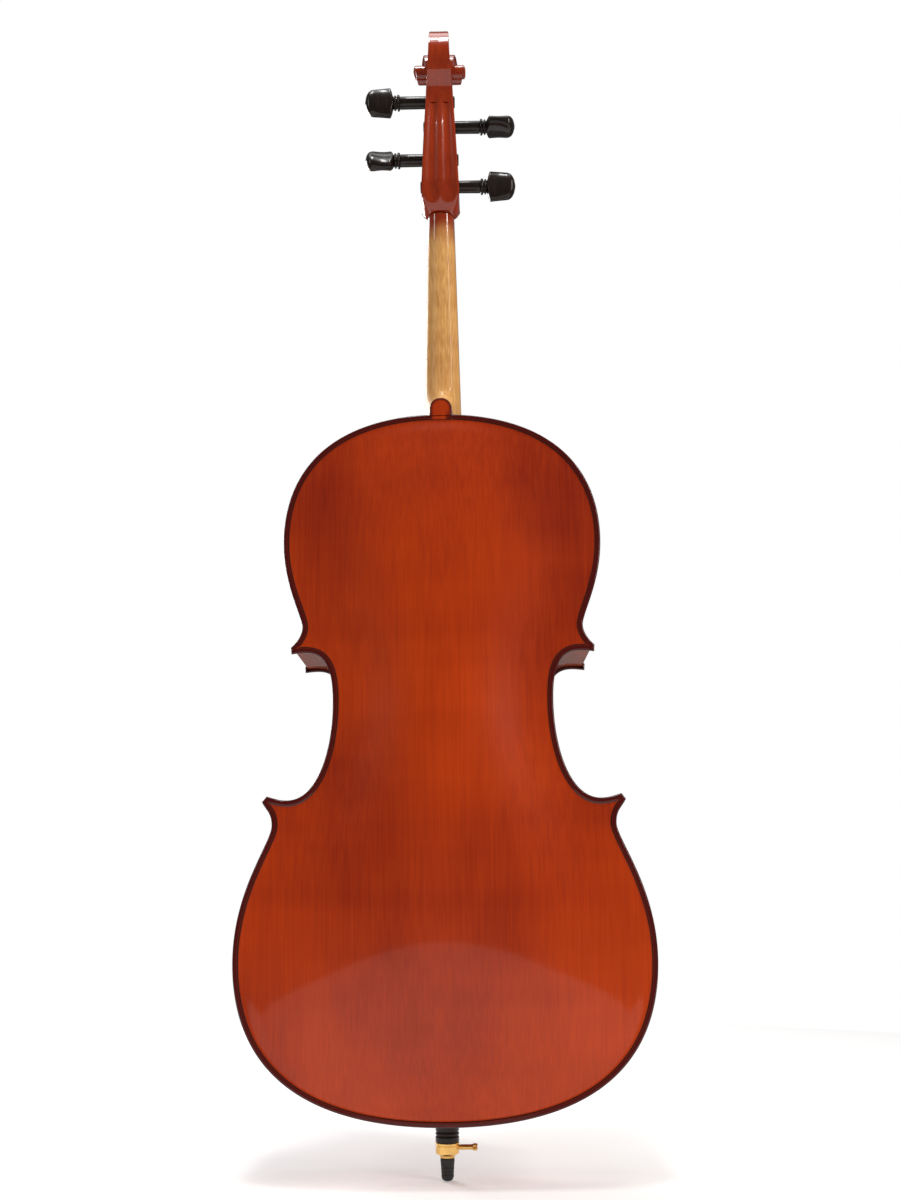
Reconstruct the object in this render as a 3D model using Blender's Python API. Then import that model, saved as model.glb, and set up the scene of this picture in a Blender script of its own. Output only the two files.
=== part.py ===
"""A full-size cello with its endpin drawn out a little, as separate pieces.

Frame: metres, +Z up along the instrument, -Y out of the belly, +Y out of the back.
+X is the treble side. The origin is the foot of the endpin tip.
Heights on the body are counted from its bottom edge, and drops from its top edge.
"""
import math

import bmesh
import bpy
import numpy as np

# Gaps between pieces
GAP = 0.0003
BORE_GAP = 0.00035
MORTISE_SIDE = 0.0005
FACET_SAG = 0.026  # share of the arching's rise that flat facets can stand off the curve

# Body
BODY_LENGTH = 0.755
BODY_DEPTH = 0.124
EDGE = 0.0045
OVERHANG = 0.0035
ARCH = 0.025
PLATE = 0.0045
RIB = 0.0015
UPPER_HALF = 0.171
UPPER_DROP = 0.142
WAIST_HALF = 0.117
WAIST_DROP = 0.317
LOWER_HALF = 0.2197
LOWER_HEIGHT = 0.168
UPPER_CORNER_HALF = 0.162
UPPER_CORNER_DROP = 0.2576
LOWER_CORNER_HALF = 0.1865
LOWER_CORNER_HEIGHT = 0.338
NOTCH_IN = 0.012
LINING_THICK = 0.0022
LINING_TALL = 0.012
CORNER_BLOCK = 0.030
UPPER_BLOCK_HALF = 0.055
LOWER_BLOCK_HALF = 0.048
BLOCK_DEEP = 0.036
BAR_X = -0.032
BAR_WIDE = 0.011
BAR_TALL = 0.024
BAR_LENGTH = 0.58
POST_R = 0.0055
POST_X = 0.030
POST_BELOW = 0.016

# Endpin
PIN_OUT = 0.064
PLUG_OUT = 0.0247
PLUG_R = 0.0125
COLLAR_LOW = 0.0407
ROD_R = 0.004
ROD_LENGTH = 0.42
TIP_R = 0.0075
TIP_TALL = 0.0229
SCREW_R = 0.00275
SCREW_DROP = 0.0301
SCREW_OUT = 0.0318

# Neck
NUT_DROP = -0.280
OVERSTAND = 0.020
NECK_SLOPE = 0.1625
BOARD_LENGTH = 0.580
BOARD_NUT_HALF = 0.016
BOARD_END_HALF = 0.031
BOARD_ROUND = 0.062
BOARD_EDGE = 0.0075
BUTTON_HALF = 0.012
BUTTON_OUT = 0.0178
HEEL_HALF = 0.0215
NECK_BACK_NUT = 0.029
MORTISE = 0.007
NUT_LONG = 0.0085
NUT_OVER = 0.0012
PEGBOX_LENGTH = 0.145
PEGBOX_NUT_HALF = 0.0235
PEGBOX_TOP_HALF = 0.0155
CHEEK = 0.0075
PEG_LINE_Y = -0.018
PEG_LINE_LEAN = 0.067
SCROLL_UP = 0.177
SCROLL_Y = -0.016
SCROLL_TOP_R = 0.0435
SCROLL_BAND_HALF = 0.0105
EYE_HALF = 0.0315
EYE_R = 0.0075

# Strings and fittings
STOP = 0.400
BRIDGE_HALF = 0.046
BRIDGE_TALL = 0.084
BRIDGE_FOOT = 0.011
BRIDGE_ROUND = 0.065
BRIDGE_FOOT_IN = 0.022
SADDLE_HALF = 0.018
SADDLE_DEEP = 0.009
SADDLE_PROUD = 0.009
BRIDGE_TOP = 0.0026
STRING_SPREAD = 0.0155
NUT_SPREAD = 0.0072
STRING_R = {"c": 0.00085, "g": 0.0006, "d": 0.00045, "a": 0.00035}
TAILPIECE_LENGTH = 0.225
TAIL_GAP = 0.012
TAIL_HALF_LOW = 0.015
TAIL_HALF_HIGH = 0.029
TAIL_THICK = 0.013
LEVER_SPREAD = 0.0125
LEVER_HALF = 0.0015
TUNER_IN = 0.026
TUNER_SCREW_R = 0.0015
KNOB_R = 0.0045
HOOK_IN = 0.006
PIVOT_IN = 0.009
GUT_R = 0.0015
GUT_X = 0.008
GUT_DROP = 0.004
PEG_R = 0.0072
PEG_COLLAR = 0.0026
PEG_HEAD_IN = 0.056
PEG_HEAD_OUT = 0.089
F_LENGTH = 0.139
F_UPPER_HALF = 0.049
F_LOWER_HALF = 0.094
F_UPPER_EYE_R = 0.00525
F_LOWER_EYE_R = 0.007

BOTTOM = PIN_OUT
TOP = PIN_OUT + BODY_LENGTH
HALF_DEPTH = BODY_DEPTH / 2
RIB_Y = HALF_DEPTH - EDGE - GAP
NUT_Z = TOP - NUT_DROP
BRIDGE_Z = TOP - STOP
BUTTON_TOP = TOP + BUTTON_OUT
ARCH_GAP = GAP + FACET_SAG * ARCH
NECK_ROOT_Y = -HALF_DEPTH - OVERSTAND
UNITS = {"c": -1.5, "g": -0.5, "d": 0.5, "a": 1.5}
PEG_ALONG = {"c": 0.031, "a": 0.0641, "g": 0.1041, "d": 0.1353}
PEG_SIDE = {"c": -1, "g": -1, "d": 1, "a": 1}
PEG_TURN = {"c": 0.0, "g": 90.0, "d": 0.0, "a": 35.0}

FINISHES = {
    "varnish": ((0.42, 0.07, 0.01), 0.25, 0.0),
    "spruce": ((0.62, 0.30, 0.08), 0.3, 0.0),
    "ebony": ((0.02, 0.014, 0.012), 0.35, 0.0),
    "maple": ((0.75, 0.50, 0.26), 0.5, 0.0),
    "brass": ((0.80, 0.56, 0.20), 0.25, 1.0),
    "steel": ((0.62, 0.62, 0.64), 0.25, 1.0),
    "rubber": ((0.02, 0.02, 0.02), 0.8, 0.0),
    "carbon": ((0.03, 0.03, 0.035), 0.4, 0.0),
}


def clear_scene():
    for old in list(bpy.data.objects):
        bpy.data.objects.remove(old)


def finish_material(name):
    material = bpy.data.materials.get(name)
    if material:
        return material
    color, roughness, metallic = FINISHES[name]
    material = bpy.data.materials.new(name)
    material.use_nodes = True
    shader = material.node_tree.nodes["Principled BSDF"]
    shader.inputs["Base Color"].default_value = (*color, 1.0)
    shader.inputs["Roughness"].default_value = roughness
    shader.inputs["Metallic"].default_value = metallic
    return material


def add_object(name, verts, faces, finish, at=(0.0, 0.0, 0.0), sharp=35.0):
    """One object from world points, with its own origin moved to `at`."""
    mesh = bpy.data.meshes.new(name)
    local = [(v[0] - at[0], v[1] - at[1], v[2] - at[2]) for v in verts]
    mesh.from_pydata(local, [], faces)
    work = bmesh.new()
    work.from_mesh(mesh)
    bmesh.ops.remove_doubles(work, verts=work.verts, dist=1e-6)
    bmesh.ops.recalc_face_normals(work, faces=work.faces)
    work.to_mesh(mesh)
    work.free()
    mesh.shade_smooth()
    mesh.set_sharp_from_angle(angle=math.radians(sharp))
    mesh.materials.append(finish_material(finish))
    made = bpy.data.objects.new(name, mesh)
    made.location = at
    bpy.context.scene.collection.objects.link(made)
    return made


def loft(name, rings, finish, at=(0.0, 0.0, 0.0), sharp=35.0):
    """A closed solid through rings of equal count, with a flat cap on each end ring."""
    count = len(rings[0])
    verts = [tuple(p) for ring in rings for p in ring]
    faces = []
    for row in range(len(rings) - 1):
        for i in range(count):
            j = (i + 1) % count
            low, high = row * count, (row + 1) * count
            faces.append((low + i, low + j, high + j, high + i))
    faces.append(tuple(range(count)))
    faces.append(tuple(reversed(range((len(rings) - 1) * count, len(rings) * count))))
    return add_object(name, verts, faces, finish, at, sharp)


def turned(name, profile, finish, centre, axis="Z", sides=20, squash=1.0):
    """A turned solid: profile is (distance along the axis, radius) pairs."""
    rings = []
    for along, radius in profile:
        ring = []
        for k in range(sides):
            angle = 2 * math.pi * k / sides
            p, q = radius * math.cos(angle), radius * squash * math.sin(angle)
            if axis == "Z":
                ring.append((centre[0] + p, centre[1] + q, centre[2] + along))
            elif axis == "X":
                ring.append((centre[0] + along, centre[1] + p, centre[2] + q))
            else:
                ring.append((centre[0] + q, centre[1] + along, centre[2] + p))
        rings.append(ring)
    return loft(name, rings, finish, centre)


def hide_cutter(cutter):
    cutter.hide_render = True
    cutter.display_type = "WIRE"


def boolean(target, other, operation="DIFFERENCE"):
    cut = target.modifiers.new(operation.lower(), "BOOLEAN")
    cut.operation = operation
    cut.object = other
    cut.solver = "EXACT"
    hide_cutter(other)


def bezier(a, b, c, d, count):
    """Points along a cubic curve, without its last point."""
    t = np.linspace(0.0, 1.0, count, endpoint=False)[:, None]
    a, b, c, d = (np.array(p) for p in (a, b, c, d))
    return (1 - t) ** 3 * a + 3 * (1 - t) ** 2 * t * b + 3 * (1 - t) * t ** 2 * c + t ** 3 * d


# ---- body outline, treble half, as (x, z) points from the top to the bottom ----

def quarter(start, end, flat_start, pull_start, pull_end, count):
    """A quarter turn whose ends run level (flat) at one end and upright at the other."""
    across, down = end[0] - start[0], end[1] - start[1]
    if flat_start:
        first = (start[0] + pull_start * across, start[1])
        second = (end[0], end[1] - pull_end * down)
    else:
        first = (start[0], start[1] + pull_start * down)
        second = (end[0] - pull_end * across, end[1])
    return bezier(start, first, second, end, count)


UPPER_TIP = (UPPER_CORNER_HALF, TOP - UPPER_CORNER_DROP)
LOWER_TIP = (LOWER_CORNER_HALF, BOTTOM + LOWER_CORNER_HEIGHT)
TIP_WIDE = 0.0074


def upper_line():
    widest = (UPPER_HALF, TOP - UPPER_DROP)
    notch = (UPPER_TIP[0] - NOTCH_IN, UPPER_TIP[1] + 0.0216)
    down = widest[1] - notch[1]
    parts = [
        quarter((0.0, TOP), widest, True, 0.626, 0.641, 16),
        bezier(widest, (widest[0], widest[1] - 0.5 * down), (notch[0], notch[1] + 0.138 * down), notch, 7),
        bezier(notch, (notch[0], notch[1] - 0.008), (UPPER_TIP[0] - 0.006, UPPER_TIP[1] + 0.005),
               UPPER_TIP, 4),
    ]
    return np.vstack([*parts, [UPPER_TIP]])


def waist_line():
    start = (UPPER_TIP[0] - 0.0005, UPPER_TIP[1] - TIP_WIDE)
    high = (UPPER_TIP[0] - 0.015, UPPER_TIP[1] - 0.0062)
    waist = (WAIST_HALF, TOP - WAIST_DROP)
    low = (LOWER_TIP[0] - 0.0215, LOWER_TIP[1] - 0.0045)
    parts = [
        bezier(start, (start[0] - 0.005, start[1] + 0.0006), (high[0] + 0.005, high[1]), high, 3),
        quarter(high, waist, True, 0.733, 0.695, 9),
        quarter(waist, low, False, 0.498, 0.667, 10),
        bezier(low, (low[0] + 0.008, low[1]), (LOWER_TIP[0] - 0.007, LOWER_TIP[1] - 0.002), LOWER_TIP, 4),
    ]
    return np.vstack([*parts, [LOWER_TIP]])


def lower_line():
    start = (LOWER_TIP[0] + 0.0045, LOWER_TIP[1] - 0.006)
    notch = (LOWER_TIP[0] - 0.006, LOWER_TIP[1] - 0.031)
    widest = (LOWER_HALF, BOTTOM + LOWER_HEIGHT)
    down = notch[1] - widest[1]
    parts = [
        bezier(start, (start[0] - 0.004, start[1] - 0.009), (notch[0], notch[1] + 0.014), notch, 4),
        bezier(notch, (notch[0], notch[1] - 0.122 * down), (widest[0], widest[1] + 0.525 * down), widest, 9),
        quarter(widest, (0.0, BOTTOM), False, 0.673, 0.646, 16),
    ]
    return np.vstack([*parts, [(0.0, BOTTOM)]])


def inset_line(line, distance):
    """The line moved into the body by a distance, point for point."""
    along = np.gradient(line, axis=0)
    along /= np.linalg.norm(along, axis=1)[:, None]
    inward = np.column_stack([along[:, 1], -along[:, 0]])
    moved = line + distance * inward
    for end in (0, -1):
        if abs(line[end, 0]) < 1e-9:
            moved[end] = (0.0, line[end, 1] + math.copysign(distance, inward[end, 1]))
    return moved


def crossing(first, second):
    """Where two lines cross, as a fractional index on each."""
    for i in range(len(first) - 1):
        for j in range(len(second) - 1):
            step_a, step_b = first[i + 1] - first[i], second[j + 1] - second[j]
            apart = second[j] - first[i]
            flat = step_a[0] * step_b[1] - step_a[1] * step_b[0]
            if abs(flat) < 1e-15:
                continue
            s = (apart[0] * step_b[1] - apart[1] * step_b[0]) / flat
            t = (apart[0] * step_a[1] - apart[1] * step_a[0]) / flat
            if 0 <= s <= 1 and 0 <= t <= 1:
                return i + s, j + t
    raise ValueError("lines do not cross")


def point_at(line, index):
    low = min(int(index), len(line) - 2)
    return line[low] + (index - low) * (line[low + 1] - line[low])


def stretch(line, start, stop):
    """The part of a line between two fractional indices."""
    inner = [line[k] for k in range(int(math.floor(start)) + 1, int(math.ceil(stop)))]
    return np.array([point_at(line, start), *inner, point_at(line, stop)])


def walk(line, start, distance):
    """The fractional index reached by going a distance along the line, back if negative."""
    sign = 1 if distance > 0 else -1
    left, index = abs(distance), start
    step = 0.02
    while left > 0 and 0 <= index <= len(line) - 1:
        after = index + sign * step
        left -= np.linalg.norm(point_at(line, after) - point_at(line, index))
        index = after
    return index


def index_beyond(line, half):
    """The fractional index where a line that starts or ends on the centre reaches x = half."""
    if line[0, 0] < line[-1, 0]:
        return float(np.interp(half, line[:8, 0], np.arange(8)))
    last = np.arange(len(line))[-8:]
    return float(np.interp(half, line[-8:, 0][::-1], last[::-1]))


# ---- arching ----

def bout_half(z):
    """Half-width that the arching follows: it runs past the corners."""
    upper_z, waist_z, lower_z = TOP - UPPER_DROP, TOP - WAIST_DROP, BOTTOM + LOWER_HEIGHT
    z = np.asarray(z, dtype=float)
    between_up = 0.5 - 0.5 * np.cos(np.pi * np.clip((upper_z - z) / (upper_z - waist_z), 0, 1))
    between_low = 0.5 - 0.5 * np.cos(np.pi * np.clip((waist_z - z) / (waist_z - lower_z), 0, 1))
    middle = UPPER_HALF + (WAIST_HALF - UPPER_HALF) * between_up + (LOWER_HALF - WAIST_HALF) * between_low
    top_part = np.clip((z - upper_z) / (TOP - upper_z), 0, 1)
    low_part = np.clip((lower_z - z) / (lower_z - BOTTOM), 0, 1)
    return middle * np.sqrt(np.clip(1 - top_part ** 2.3, 0, 1)) * np.sqrt(np.clip(1 - low_part ** 2.3, 0, 1))


def arch(x, z):
    """Rise of a plate above its edge: a bell across, and flat along the middle."""
    margin = 0.009
    half = np.maximum(bout_half(z) - margin, 1e-6)
    across = np.clip(np.abs(x) / half, 0, 1)
    along = np.clip(np.abs((np.asarray(z) - (TOP + BOTTOM) / 2) / (BODY_LENGTH / 2 - margin)), 0, 1)
    length = 1 - along ** 2.6
    return ARCH * length * (0.5 + 0.5 * np.cos(np.pi * across ** 1.15))


# ---- body ----

def outline_prism(name, low, high, inset=0.0):
    treble = np.vstack([inset_line(line, inset) if inset else line
                        for line in (upper_line(), waist_line(), lower_line())])
    bass = treble[1:-1][::-1] * np.array([-1.0, 1.0])
    around = np.vstack([treble, bass])
    rings = [[(x, y, z) for x, z in around] for y in (low, high)]
    return loft(name, rings, "varnish")


def arched_plate(name, side, finish):
    """A plate from an arched slab trimmed to the outline; side is +1 for the back."""
    columns, rows = 19, 29
    reach = max(LOWER_HALF, UPPER_HALF) + 0.01
    xs = np.linspace(-reach, reach, columns)
    zs = np.linspace(BOTTOM - 0.01, TOP + 0.03, rows)
    grid_x, grid_z = np.meshgrid(xs, zs)
    rise = arch(grid_x, grid_z)
    outer = side * (HALF_DEPTH + rise)
    inner = side * (HALF_DEPTH - EDGE + rise * (1 + (EDGE - PLATE) / ARCH))
    verts = [(x, y, z) for layer in (outer, inner)
             for x, y, z in zip(grid_x.ravel(), layer.ravel(), grid_z.ravel())]
    size = columns * rows
    faces = []
    for r in range(rows - 1):
        for c in range(columns - 1):
            a = r * columns + c
            quad = (a, a + 1, a + columns + 1, a + columns)
            faces.append(quad)
            faces.append(tuple(size + k for k in reversed(quad)))
    rim = list(range(columns)) + [r * columns + columns - 1 for r in range(1, rows)]
    rim += list(range(size - 2, size - columns - 1, -1)) + [r * columns for r in range(rows - 2, 0, -1)]
    for i, a in enumerate(rim):
        b = rim[(i + 1) % len(rim)]
        faces.append((a, b, size + b, size + a))
    plate = add_object(name, verts, faces, finish)
    near, far = sorted((side * (HALF_DEPTH - EDGE - 0.01), side * (HALF_DEPTH + ARCH + 0.02)))
    trim = outline_prism(name + "_outline", near, far)
    boolean(plate, trim, "INTERSECT")
    return plate


def box(name, low, high):
    """A plain box between two corners."""
    ring = [(low[0], low[1]), (high[0], low[1]), (high[0], high[1]), (low[0], high[1])]
    return loft(name, [[(x, y, z) for x, y in ring] for z in (low[2], high[2])], "varnish")


def button_half(z):
    above = np.clip((z - (BUTTON_TOP - BUTTON_HALF)) / BUTTON_HALF, 0, 1)
    return BUTTON_HALF * math.sqrt(1 - above ** 2)


def back_plate():
    plate = arched_plate("back_plate", 1, "varnish")
    heights = [TOP - 0.004, BUTTON_TOP - BUTTON_HALF]
    heights += [BUTTON_TOP - BUTTON_HALF * (1 - math.sin(math.pi * k / 16)) for k in range(1, 8)]
    side = [(button_half(z), z) for z in heights] + [(0.0, BUTTON_TOP)]
    around = side + [(-x, z) for x, z in reversed(side[:-1])]
    rings = [[(x, y, z) for x, z in around] for y in (HALF_DEPTH - EDGE, HALF_DEPTH)]
    button = loft("button", rings, "varnish")
    boolean(plate, button, "UNION")


def f_line():
    """Middle of the treble f-hole from its upper eye to its lower eye, about the bridge line."""
    top, low = F_LENGTH / 2, -F_LENGTH / 2
    upper_x = F_UPPER_HALF + F_UPPER_EYE_R
    stem_top = (upper_x + 0.014, top - 0.020)
    stem_low = (F_LOWER_HALF - 0.017, low + 0.020)
    parts = [
        bezier((upper_x, top - 0.014), (upper_x, top + 0.001), (stem_top[0] - 0.003, top + 0.002),
               stem_top, 6),
        bezier(stem_top, (stem_top[0] + 0.002, 0.018), (stem_low[0] - 0.002, -0.018), stem_low, 6),
        bezier(stem_low, (stem_low[0] + 0.003, low - 0.002), (F_LOWER_HALF, low - 0.001),
               (F_LOWER_HALF, low + 0.017), 6),
    ]
    return np.vstack([*parts, [(F_LOWER_HALF, low + 0.017)]]) + np.array([0.0, BRIDGE_Z])


def f_cutters(side):
    line = f_line()
    along = np.gradient(line, axis=0)
    along /= np.linalg.norm(along, axis=1)[:, None]
    wide = 0.0012 + 0.0026 * np.sin(np.linspace(0, np.pi, len(line))) ** 2
    across = np.column_stack([along[:, 1], -along[:, 0]]) * wide[:, None]
    around = np.vstack([line + across, (line - across)[::-1]])
    low, high = -HALF_DEPTH - ARCH - 0.01, -HALF_DEPTH + 0.012
    label = "bass" if side < 0 else "treble"
    rings = [[(side * x, y, z) for x, z in around] for y in (low, high)]
    cutters = [loft(f"f_stem_{label}", rings, "varnish")]
    for name, spot, radius in (("upper", line[0], F_UPPER_EYE_R), ("lower", line[-1], F_LOWER_EYE_R)):
        spot = (side * spot[0], 0.0, spot[1])
        cutters.append(turned(f"f_eye_{name}_{label}", [(low, radius), (high, radius)], "varnish",
                              spot, "Y", 12))
    return cutters


def top_plate():
    plate = arched_plate("top_plate", -1, "spruce")
    for side in (-1, 1):
        for cutter in f_cutters(side):
            boolean(plate, cutter)
    return plate


# ---- ribs, blocks and linings ----

RIB_OUT = OVERHANG
RIB_IN = OVERHANG + RIB
BLOCK_FACE = RIB_IN + GAP
SIDES = (("bass", -1), ("treble", 1))


def ribbon(name, outer, inner, low, high, side, finish="varnish"):
    rings = [[(side * a[0], low, a[1]), (side * a[0], high, a[1]),
              (side * b[0], high, b[1]), (side * b[0], low, b[1])]
             for a, b in zip(outer, inner)]
    return loft(name, rings, finish)


def rib_ends():
    """Fractional indices of the lap joints: the bout ribs run past, the waist rib butts."""
    upper, waist, lower = upper_line(), waist_line(), lower_line()
    joints = {}
    for name, bout in (("upper", upper), ("lower", lower)):
        face = inset_line(bout, BLOCK_FACE)
        joints[name, "bout"], joints[name, "out"] = crossing(face, inset_line(waist, RIB_OUT))
        joints[name, "inner"], joints[name, "in"] = crossing(face, inset_line(waist, RIB_IN))
        joints[name, "block_bout"], joints[name, "block"] = crossing(face, inset_line(waist, BLOCK_FACE))
    return joints


def ribs():
    joints = rib_ends()
    upper, waist, lower = upper_line(), waist_line(), lower_line()
    made = []
    for label, side in SIDES:
        up_end = joints["upper", "bout"]
        low_start = joints["lower", "bout"]
        lines = [inset_line(upper, d) for d in (RIB_OUT, RIB_IN)]
        lines = [stretch(line, 0.0, up_end) for line in lines]
        for line in lines:
            line[0, 0] = GAP / 2
        made.append(ribbon(f"rib_upper_{label}", *lines, -RIB_Y, RIB_Y, side))
        outer, inner = inset_line(waist, RIB_OUT), inset_line(waist, RIB_IN)
        mid = list(range(int(joints["upper", "in"]) + 1, int(joints["lower", "in"]) + 1))
        outer = np.vstack([point_at(outer, joints["upper", "out"]), outer[mid],
                           point_at(outer, joints["lower", "out"])])
        inner = np.vstack([point_at(inner, joints["upper", "in"]), inner[mid],
                           point_at(inner, joints["lower", "in"])])
        made.append(ribbon(f"rib_waist_{label}", outer, inner, -RIB_Y, RIB_Y, side))
        lines = [inset_line(lower, d) for d in (RIB_OUT, RIB_IN)]
        lines = [stretch(line, low_start, len(lower) - 1.0) for line in lines]
        for line in lines:
            line[-1, 0] = GAP / 2
        made.append(ribbon(f"rib_lower_{label}", *lines, -RIB_Y, RIB_Y, side))
    return made


def prism_y(name, around, low, high, side=1, finish="spruce"):
    rings = [[(side * x, y, z) for x, z in around] for y in (low, high)]
    return loft(name, rings, finish)


def corner_blocks():
    joints = rib_ends()
    waist = inset_line(waist_line(), BLOCK_FACE)
    for place, bout, sign in (("upper", upper_line(), 1), ("lower", lower_line(), -1)):
        face = inset_line(bout, BLOCK_FACE)
        at_bout, at_waist = joints[place, "block_bout"], joints[place, "block"]
        far_bout = walk(face, at_bout, -sign * CORNER_BLOCK)
        far_waist = walk(waist, at_waist, sign * CORNER_BLOCK)
        one = stretch(face, *sorted((far_bout, at_bout)))
        two = stretch(waist, *sorted((far_waist, at_waist)))
        around = np.vstack([one, two[1:]]) if sign > 0 else np.vstack([two, one[1:]])
        for label, side in SIDES:
            prism_y(f"corner_block_{place}_{label}", around, -RIB_Y, RIB_Y, side)


def end_block(name, line, half, at_top):
    face = inset_line(line, BLOCK_FACE)
    edge = index_beyond(face, half)
    part = stretch(face, 0.0, edge) if at_top else stretch(face, edge, len(face) - 1.0)
    around = np.vstack([part, part[(part[:, 0] > 1e-6)][::-1] * np.array([-1.0, 1.0])])
    if not at_top:
        mirrored = part[:-1][::-1] * np.array([-1.0, 1.0])
        around = np.vstack([part, mirrored])
    deep = (TOP - BLOCK_FACE - BLOCK_DEEP) if at_top else (BOTTOM + BLOCK_FACE + BLOCK_DEEP)
    if at_top:
        around = np.vstack([around[:len(part)], [(half, deep), (-half, deep)], around[len(part):]])
    else:
        around = np.vstack([around, [(-half, deep), (half, deep)]])
    return prism_y(name, around, -RIB_Y, RIB_Y)


def linings():
    joints = rib_ends()
    lines = {"upper": upper_line(), "waist": waist_line(), "lower": lower_line()}
    clear = CORNER_BLOCK + 0.001
    spans = {}
    face = inset_line(lines["upper"], BLOCK_FACE)
    spans["upper"] = (index_beyond(face, UPPER_BLOCK_HALF + 0.001),
                      walk(face, joints["upper", "block_bout"], -clear))
    face = inset_line(lines["waist"], BLOCK_FACE)
    spans["waist"] = (walk(face, joints["upper", "block"], clear),
                      walk(face, joints["lower", "block"], -clear))
    face = inset_line(lines["lower"], BLOCK_FACE)
    spans["lower"] = (walk(face, joints["lower", "block_bout"], clear),
                      index_beyond(face, LOWER_BLOCK_HALF + 0.001))
    for place, line in lines.items():
        outer = stretch(inset_line(line, BLOCK_FACE), *spans[place])
        inner = stretch(inset_line(line, BLOCK_FACE + LINING_THICK), *spans[place])
        for label, side in SIDES:
            for face_name, high in (("front", -RIB_Y), ("back", RIB_Y - LINING_TALL)):
                name = f"lining_{face_name}_{place}_{label}"
                ribbon(name, outer, inner, high, high + LINING_TALL, side, "spruce")


def inner_rise(x, z):
    return HALF_DEPTH - EDGE + float(arch(x, z)) * (1 + (EDGE - PLATE) / ARCH)


def bass_bar():
    middle = (TOP + BOTTOM) / 2
    rings = []
    for t in np.linspace(-1, 1, 15):
        z = middle + t * BAR_LENGTH / 2
        tall = 0.004 + (BAR_TALL - 0.004) * (1 - abs(t) ** 2.5)
        ring = []
        for x in (BAR_X - BAR_WIDE / 2, BAR_X + BAR_WIDE / 2):
            ring.append((x, -(inner_rise(x, z) - ARCH_GAP), z))
        lower_side = min(inner_rise(BAR_X - BAR_WIDE / 2, z), inner_rise(BAR_X + BAR_WIDE / 2, z))
        floor = -(lower_side - ARCH_GAP - tall)
        ring += [(BAR_X + BAR_WIDE / 2, floor, z), (BAR_X - BAR_WIDE / 2, floor, z)]
        rings.append(ring)
    return loft("bass_bar", rings, "spruce")


def sound_post():
    z = BRIDGE_Z - POST_BELOW
    spots = [(POST_X + POST_R * math.cos(a), z + POST_R * math.sin(a)) for a in np.linspace(0, 2 * np.pi, 9)]
    reach = min(inner_rise(x, h) for x, h in spots) - ARCH_GAP
    return turned("sound_post", [(-reach, POST_R), (reach, POST_R)], "spruce", (POST_X, 0.0, z), "Y", 16)


# ---- neck, pegbox and scroll ----

def board_half(z):
    return BOARD_NUT_HALF + (NUT_Z - z) / BOARD_LENGTH * (BOARD_END_HALF - BOARD_NUT_HALF)


def board_thick(z):
    return BOARD_EDGE + board_half(z) ** 2 / (2 * BOARD_ROUND)


BOARD_TOP_AT_BODY = NECK_ROOT_Y - board_thick(TOP)


def board_top(z):
    return BOARD_TOP_AT_BODY + NECK_SLOPE * (z - TOP)


def neck_front(z):
    return board_top(z) + board_thick(z) + GAP


def neck_back(z):
    """The shaft's back line, swept out to the button at the heel."""
    shaft = board_top(z) + NECK_BACK_NUT + 0.004 * (NUT_Z - z) / (NUT_Z - TOP)
    up = min(max((z - BUTTON_TOP) / 0.078, 0.0), 1.0)
    return RIB_Y + (shaft - RIB_Y) * (1 - (1 - up) ** 3)


HEEL_LEVELS = (-MORTISE, 0.002, BUTTON_OUT * 0.5, BUTTON_OUT * 0.85, BUTTON_OUT)
SHAFT_LEVELS = (0.003, 0.008, 0.016, 0.028, 0.045, 0.065, 0.085, 0.13, 0.18, 0.23)
DEPTHS = (0.0, 0.2, 0.42, 0.62, 0.8, 0.93, 1.0)


def neck_ring(z, grow=0.0):
    """One level of the neck: tapered and flat-backed at the heel, round-backed on the shaft."""
    front, back = neck_front(z), neck_back(z)
    heel = 1 - min(max((z - BUTTON_TOP) / 0.06, 0.0), 1.0)
    half = board_half(z) - 0.0003
    root = min(HEEL_HALF, half)
    halves = []
    for depth in DEPTHS:
        round_half = half * math.sqrt(max(1 - depth ** 2.4, 0.0))
        flat_half = root + (button_half(min(z, BUTTON_TOP)) - root) * depth
        halves.append(round_half + (flat_half - round_half) * heel + grow)
    side = [(half_at, front + (back - front) * depth) for half_at, depth in zip(halves, DEPTHS)]
    return [(x, y, z) for x, y in side] + [(-x, y, z) for x, y in reversed(side)]


PEGBOX_LEVELS = (0.0040, 0.0092, 0.0098, 0.018, 0.03, 0.055, 0.085, 0.115, 0.135, 0.145)


def pegbox_half(up):
    return PEGBOX_NUT_HALF + (PEGBOX_TOP_HALF - PEGBOX_NUT_HALF) * up / PEGBOX_LENGTH


def pegbox_front(up):
    """Level with the neck under the nut, then up to the cheeks' edges."""
    if up < NUT_LONG + 0.001:
        return neck_front(NUT_Z)
    return board_top(NUT_Z) + 0.003 + 0.16 * up


def pegbox_back(up):
    """Chin close to the neck, then a full curve up to the throat."""
    share = min(up / 0.03, 1.0)
    swell = math.sin(math.pi * min(up / (PEGBOX_LENGTH * 1.25), 1.0))
    return -0.019 + 0.015 * share + 0.012 * swell


def pegbox_ring(up):
    front, back = pegbox_front(up), pegbox_back(up)
    grown = min(max((up - 0.003) / 0.012, 0.0), 1.0)
    half = BOARD_NUT_HALF + (pegbox_half(up) - BOARD_NUT_HALF) * grown
    side = []
    for depth in DEPTHS:
        share = 1 - 0.45 * depth ** 6
        side.append((half * share, front + (back - front) * depth))
    z = NUT_Z + up
    return [(x, y, z) for x, y in side] + [(-x, y, z) for x, y in reversed(side)]


SCROLL_UP = 0.177
SCROLL_Y = -0.016


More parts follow.
